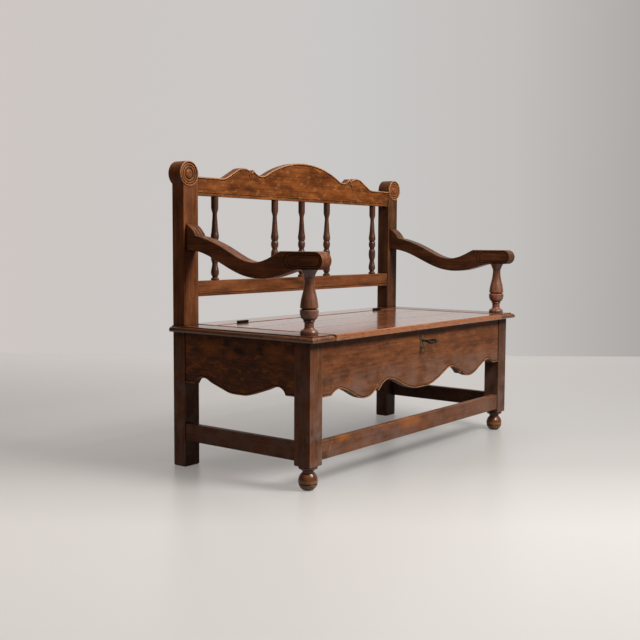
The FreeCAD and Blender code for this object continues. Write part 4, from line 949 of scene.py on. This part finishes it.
def wall_paper(across):
    """A pale wall that glows for the camera whatever lights it, with painted light: bright on the left and
    darker towards the right.
    """
    material, tree, sockets = principled("pale_wall", {
        "Roughness": 1.0, "Specular IOR Level": 0.0, "Base Color": linear("000000"),
        "Emission Strength": 1.0})
    place = add(tree, "TexCoord", output="Object")
    along = add(tree, "VectorMath", [place, across], "Value", operation="DOT_PRODUCT")
    # Painted light: the glow of the wall fades from left to right.
    tone = add(tree, "ValToRGB", [add(tree, "MapRange", [along, -2.6, 2.6])], stops=[
        (0.0, "cec6c2"), (0.5, "cac8c6"), (0.7, "c2bfbc"), (1.0, "9a9592")])
    seen = add(tree, "Mix", {0: seen_straight(tree), 6: linear("3c3a39"), 7: tone}, 2, data_type="RGBA")
    tree.links.new(seen, sockets["Emission Color"])
    return material


def make_stage():
    bpy.ops.mesh.primitive_circle_add(vertices=96, radius=FLOOR_RADIUS, fill_type="NGON",
                                      location=(0, 0, 0))
    floor = bpy.context.object
    floor.name = "studio_floor"
    yaw = math.radians(CAMERA_YAW)
    ahead = Vector((math.sin(yaw), math.cos(yaw), 0))
    across = Vector((math.cos(yaw), -math.sin(yaw), 0))
    only_material(floor, floor_paper(ahead))
    foot = Vector((CAMERA_PLACE.x, CAMERA_PLACE.y, 0)) + ahead * WALL_FAR
    points = [foot + UP * height + across * side
              for height in (-0.01, WALL_HIGH) for side in (-WALL_HALF_WIDE, WALL_HALF_WIDE)]
    data = bpy.data.meshes.new("studio_wall")
    data.from_pydata([tuple(p) for p in points], [], [(0, 1, 3, 2)])
    wall = placed("studio_wall", data)
    only_material(wall, wall_paper(across))


def lamp(name, place, target, size, watts, colour="ffffff"):
    """A soft rectangular lamp that looks at a target, in metres."""
    data = bpy.data.lights.new(name, "AREA")
    data.shape = "RECTANGLE"
    data.size, data.size_y = size
    data.energy = watts
    data.color = linear(colour)[:3]
    made = placed(name, data)
    made.location = place
    made.rotation_euler = (Vector(target) - Vector(place)).to_track_quat("-Z", "Y").to_euler()


def make_lights():
    lamp("window_in_front", (0.1, -2.0, 2.2), (0, 0, 0.35), (0.8, 0.8), 90)
    lamp("overhead", (0.9, -0.1, 3.6), (0.1, 0, 0), (3.4, 3.4), 85)
    lamp("fill_from_the_left", (-1.9, 0.5, 1.9), (-0.5, 0, 0.6), (1.0, 1.0), 6, "ffe3cc")
    world = bpy.data.worlds.new("studio")
    bpy.context.scene.world = world
    world.use_nodes = True
    tree = world.node_tree
    back = tree.nodes["Background"]
    camera, through = (add(tree, "LightPath", output="Is %s Ray" % kind)
                       for kind in ("Camera", "Transmission"))
    seen = add(tree, "Math", [camera, through], operation="ADD")
    colour = add(tree, "Mix", {0: seen, 6: linear("3f3e3d"), 7: linear("cbc7c4")}, 2, data_type="RGBA")
    tree.links.new(colour, back.inputs["Color"])
    back.inputs["Strength"].default_value = 1.0


make_camera()
make_stage()
make_lights()
bpy.context.scene.view_settings.view_transform = "Standard"
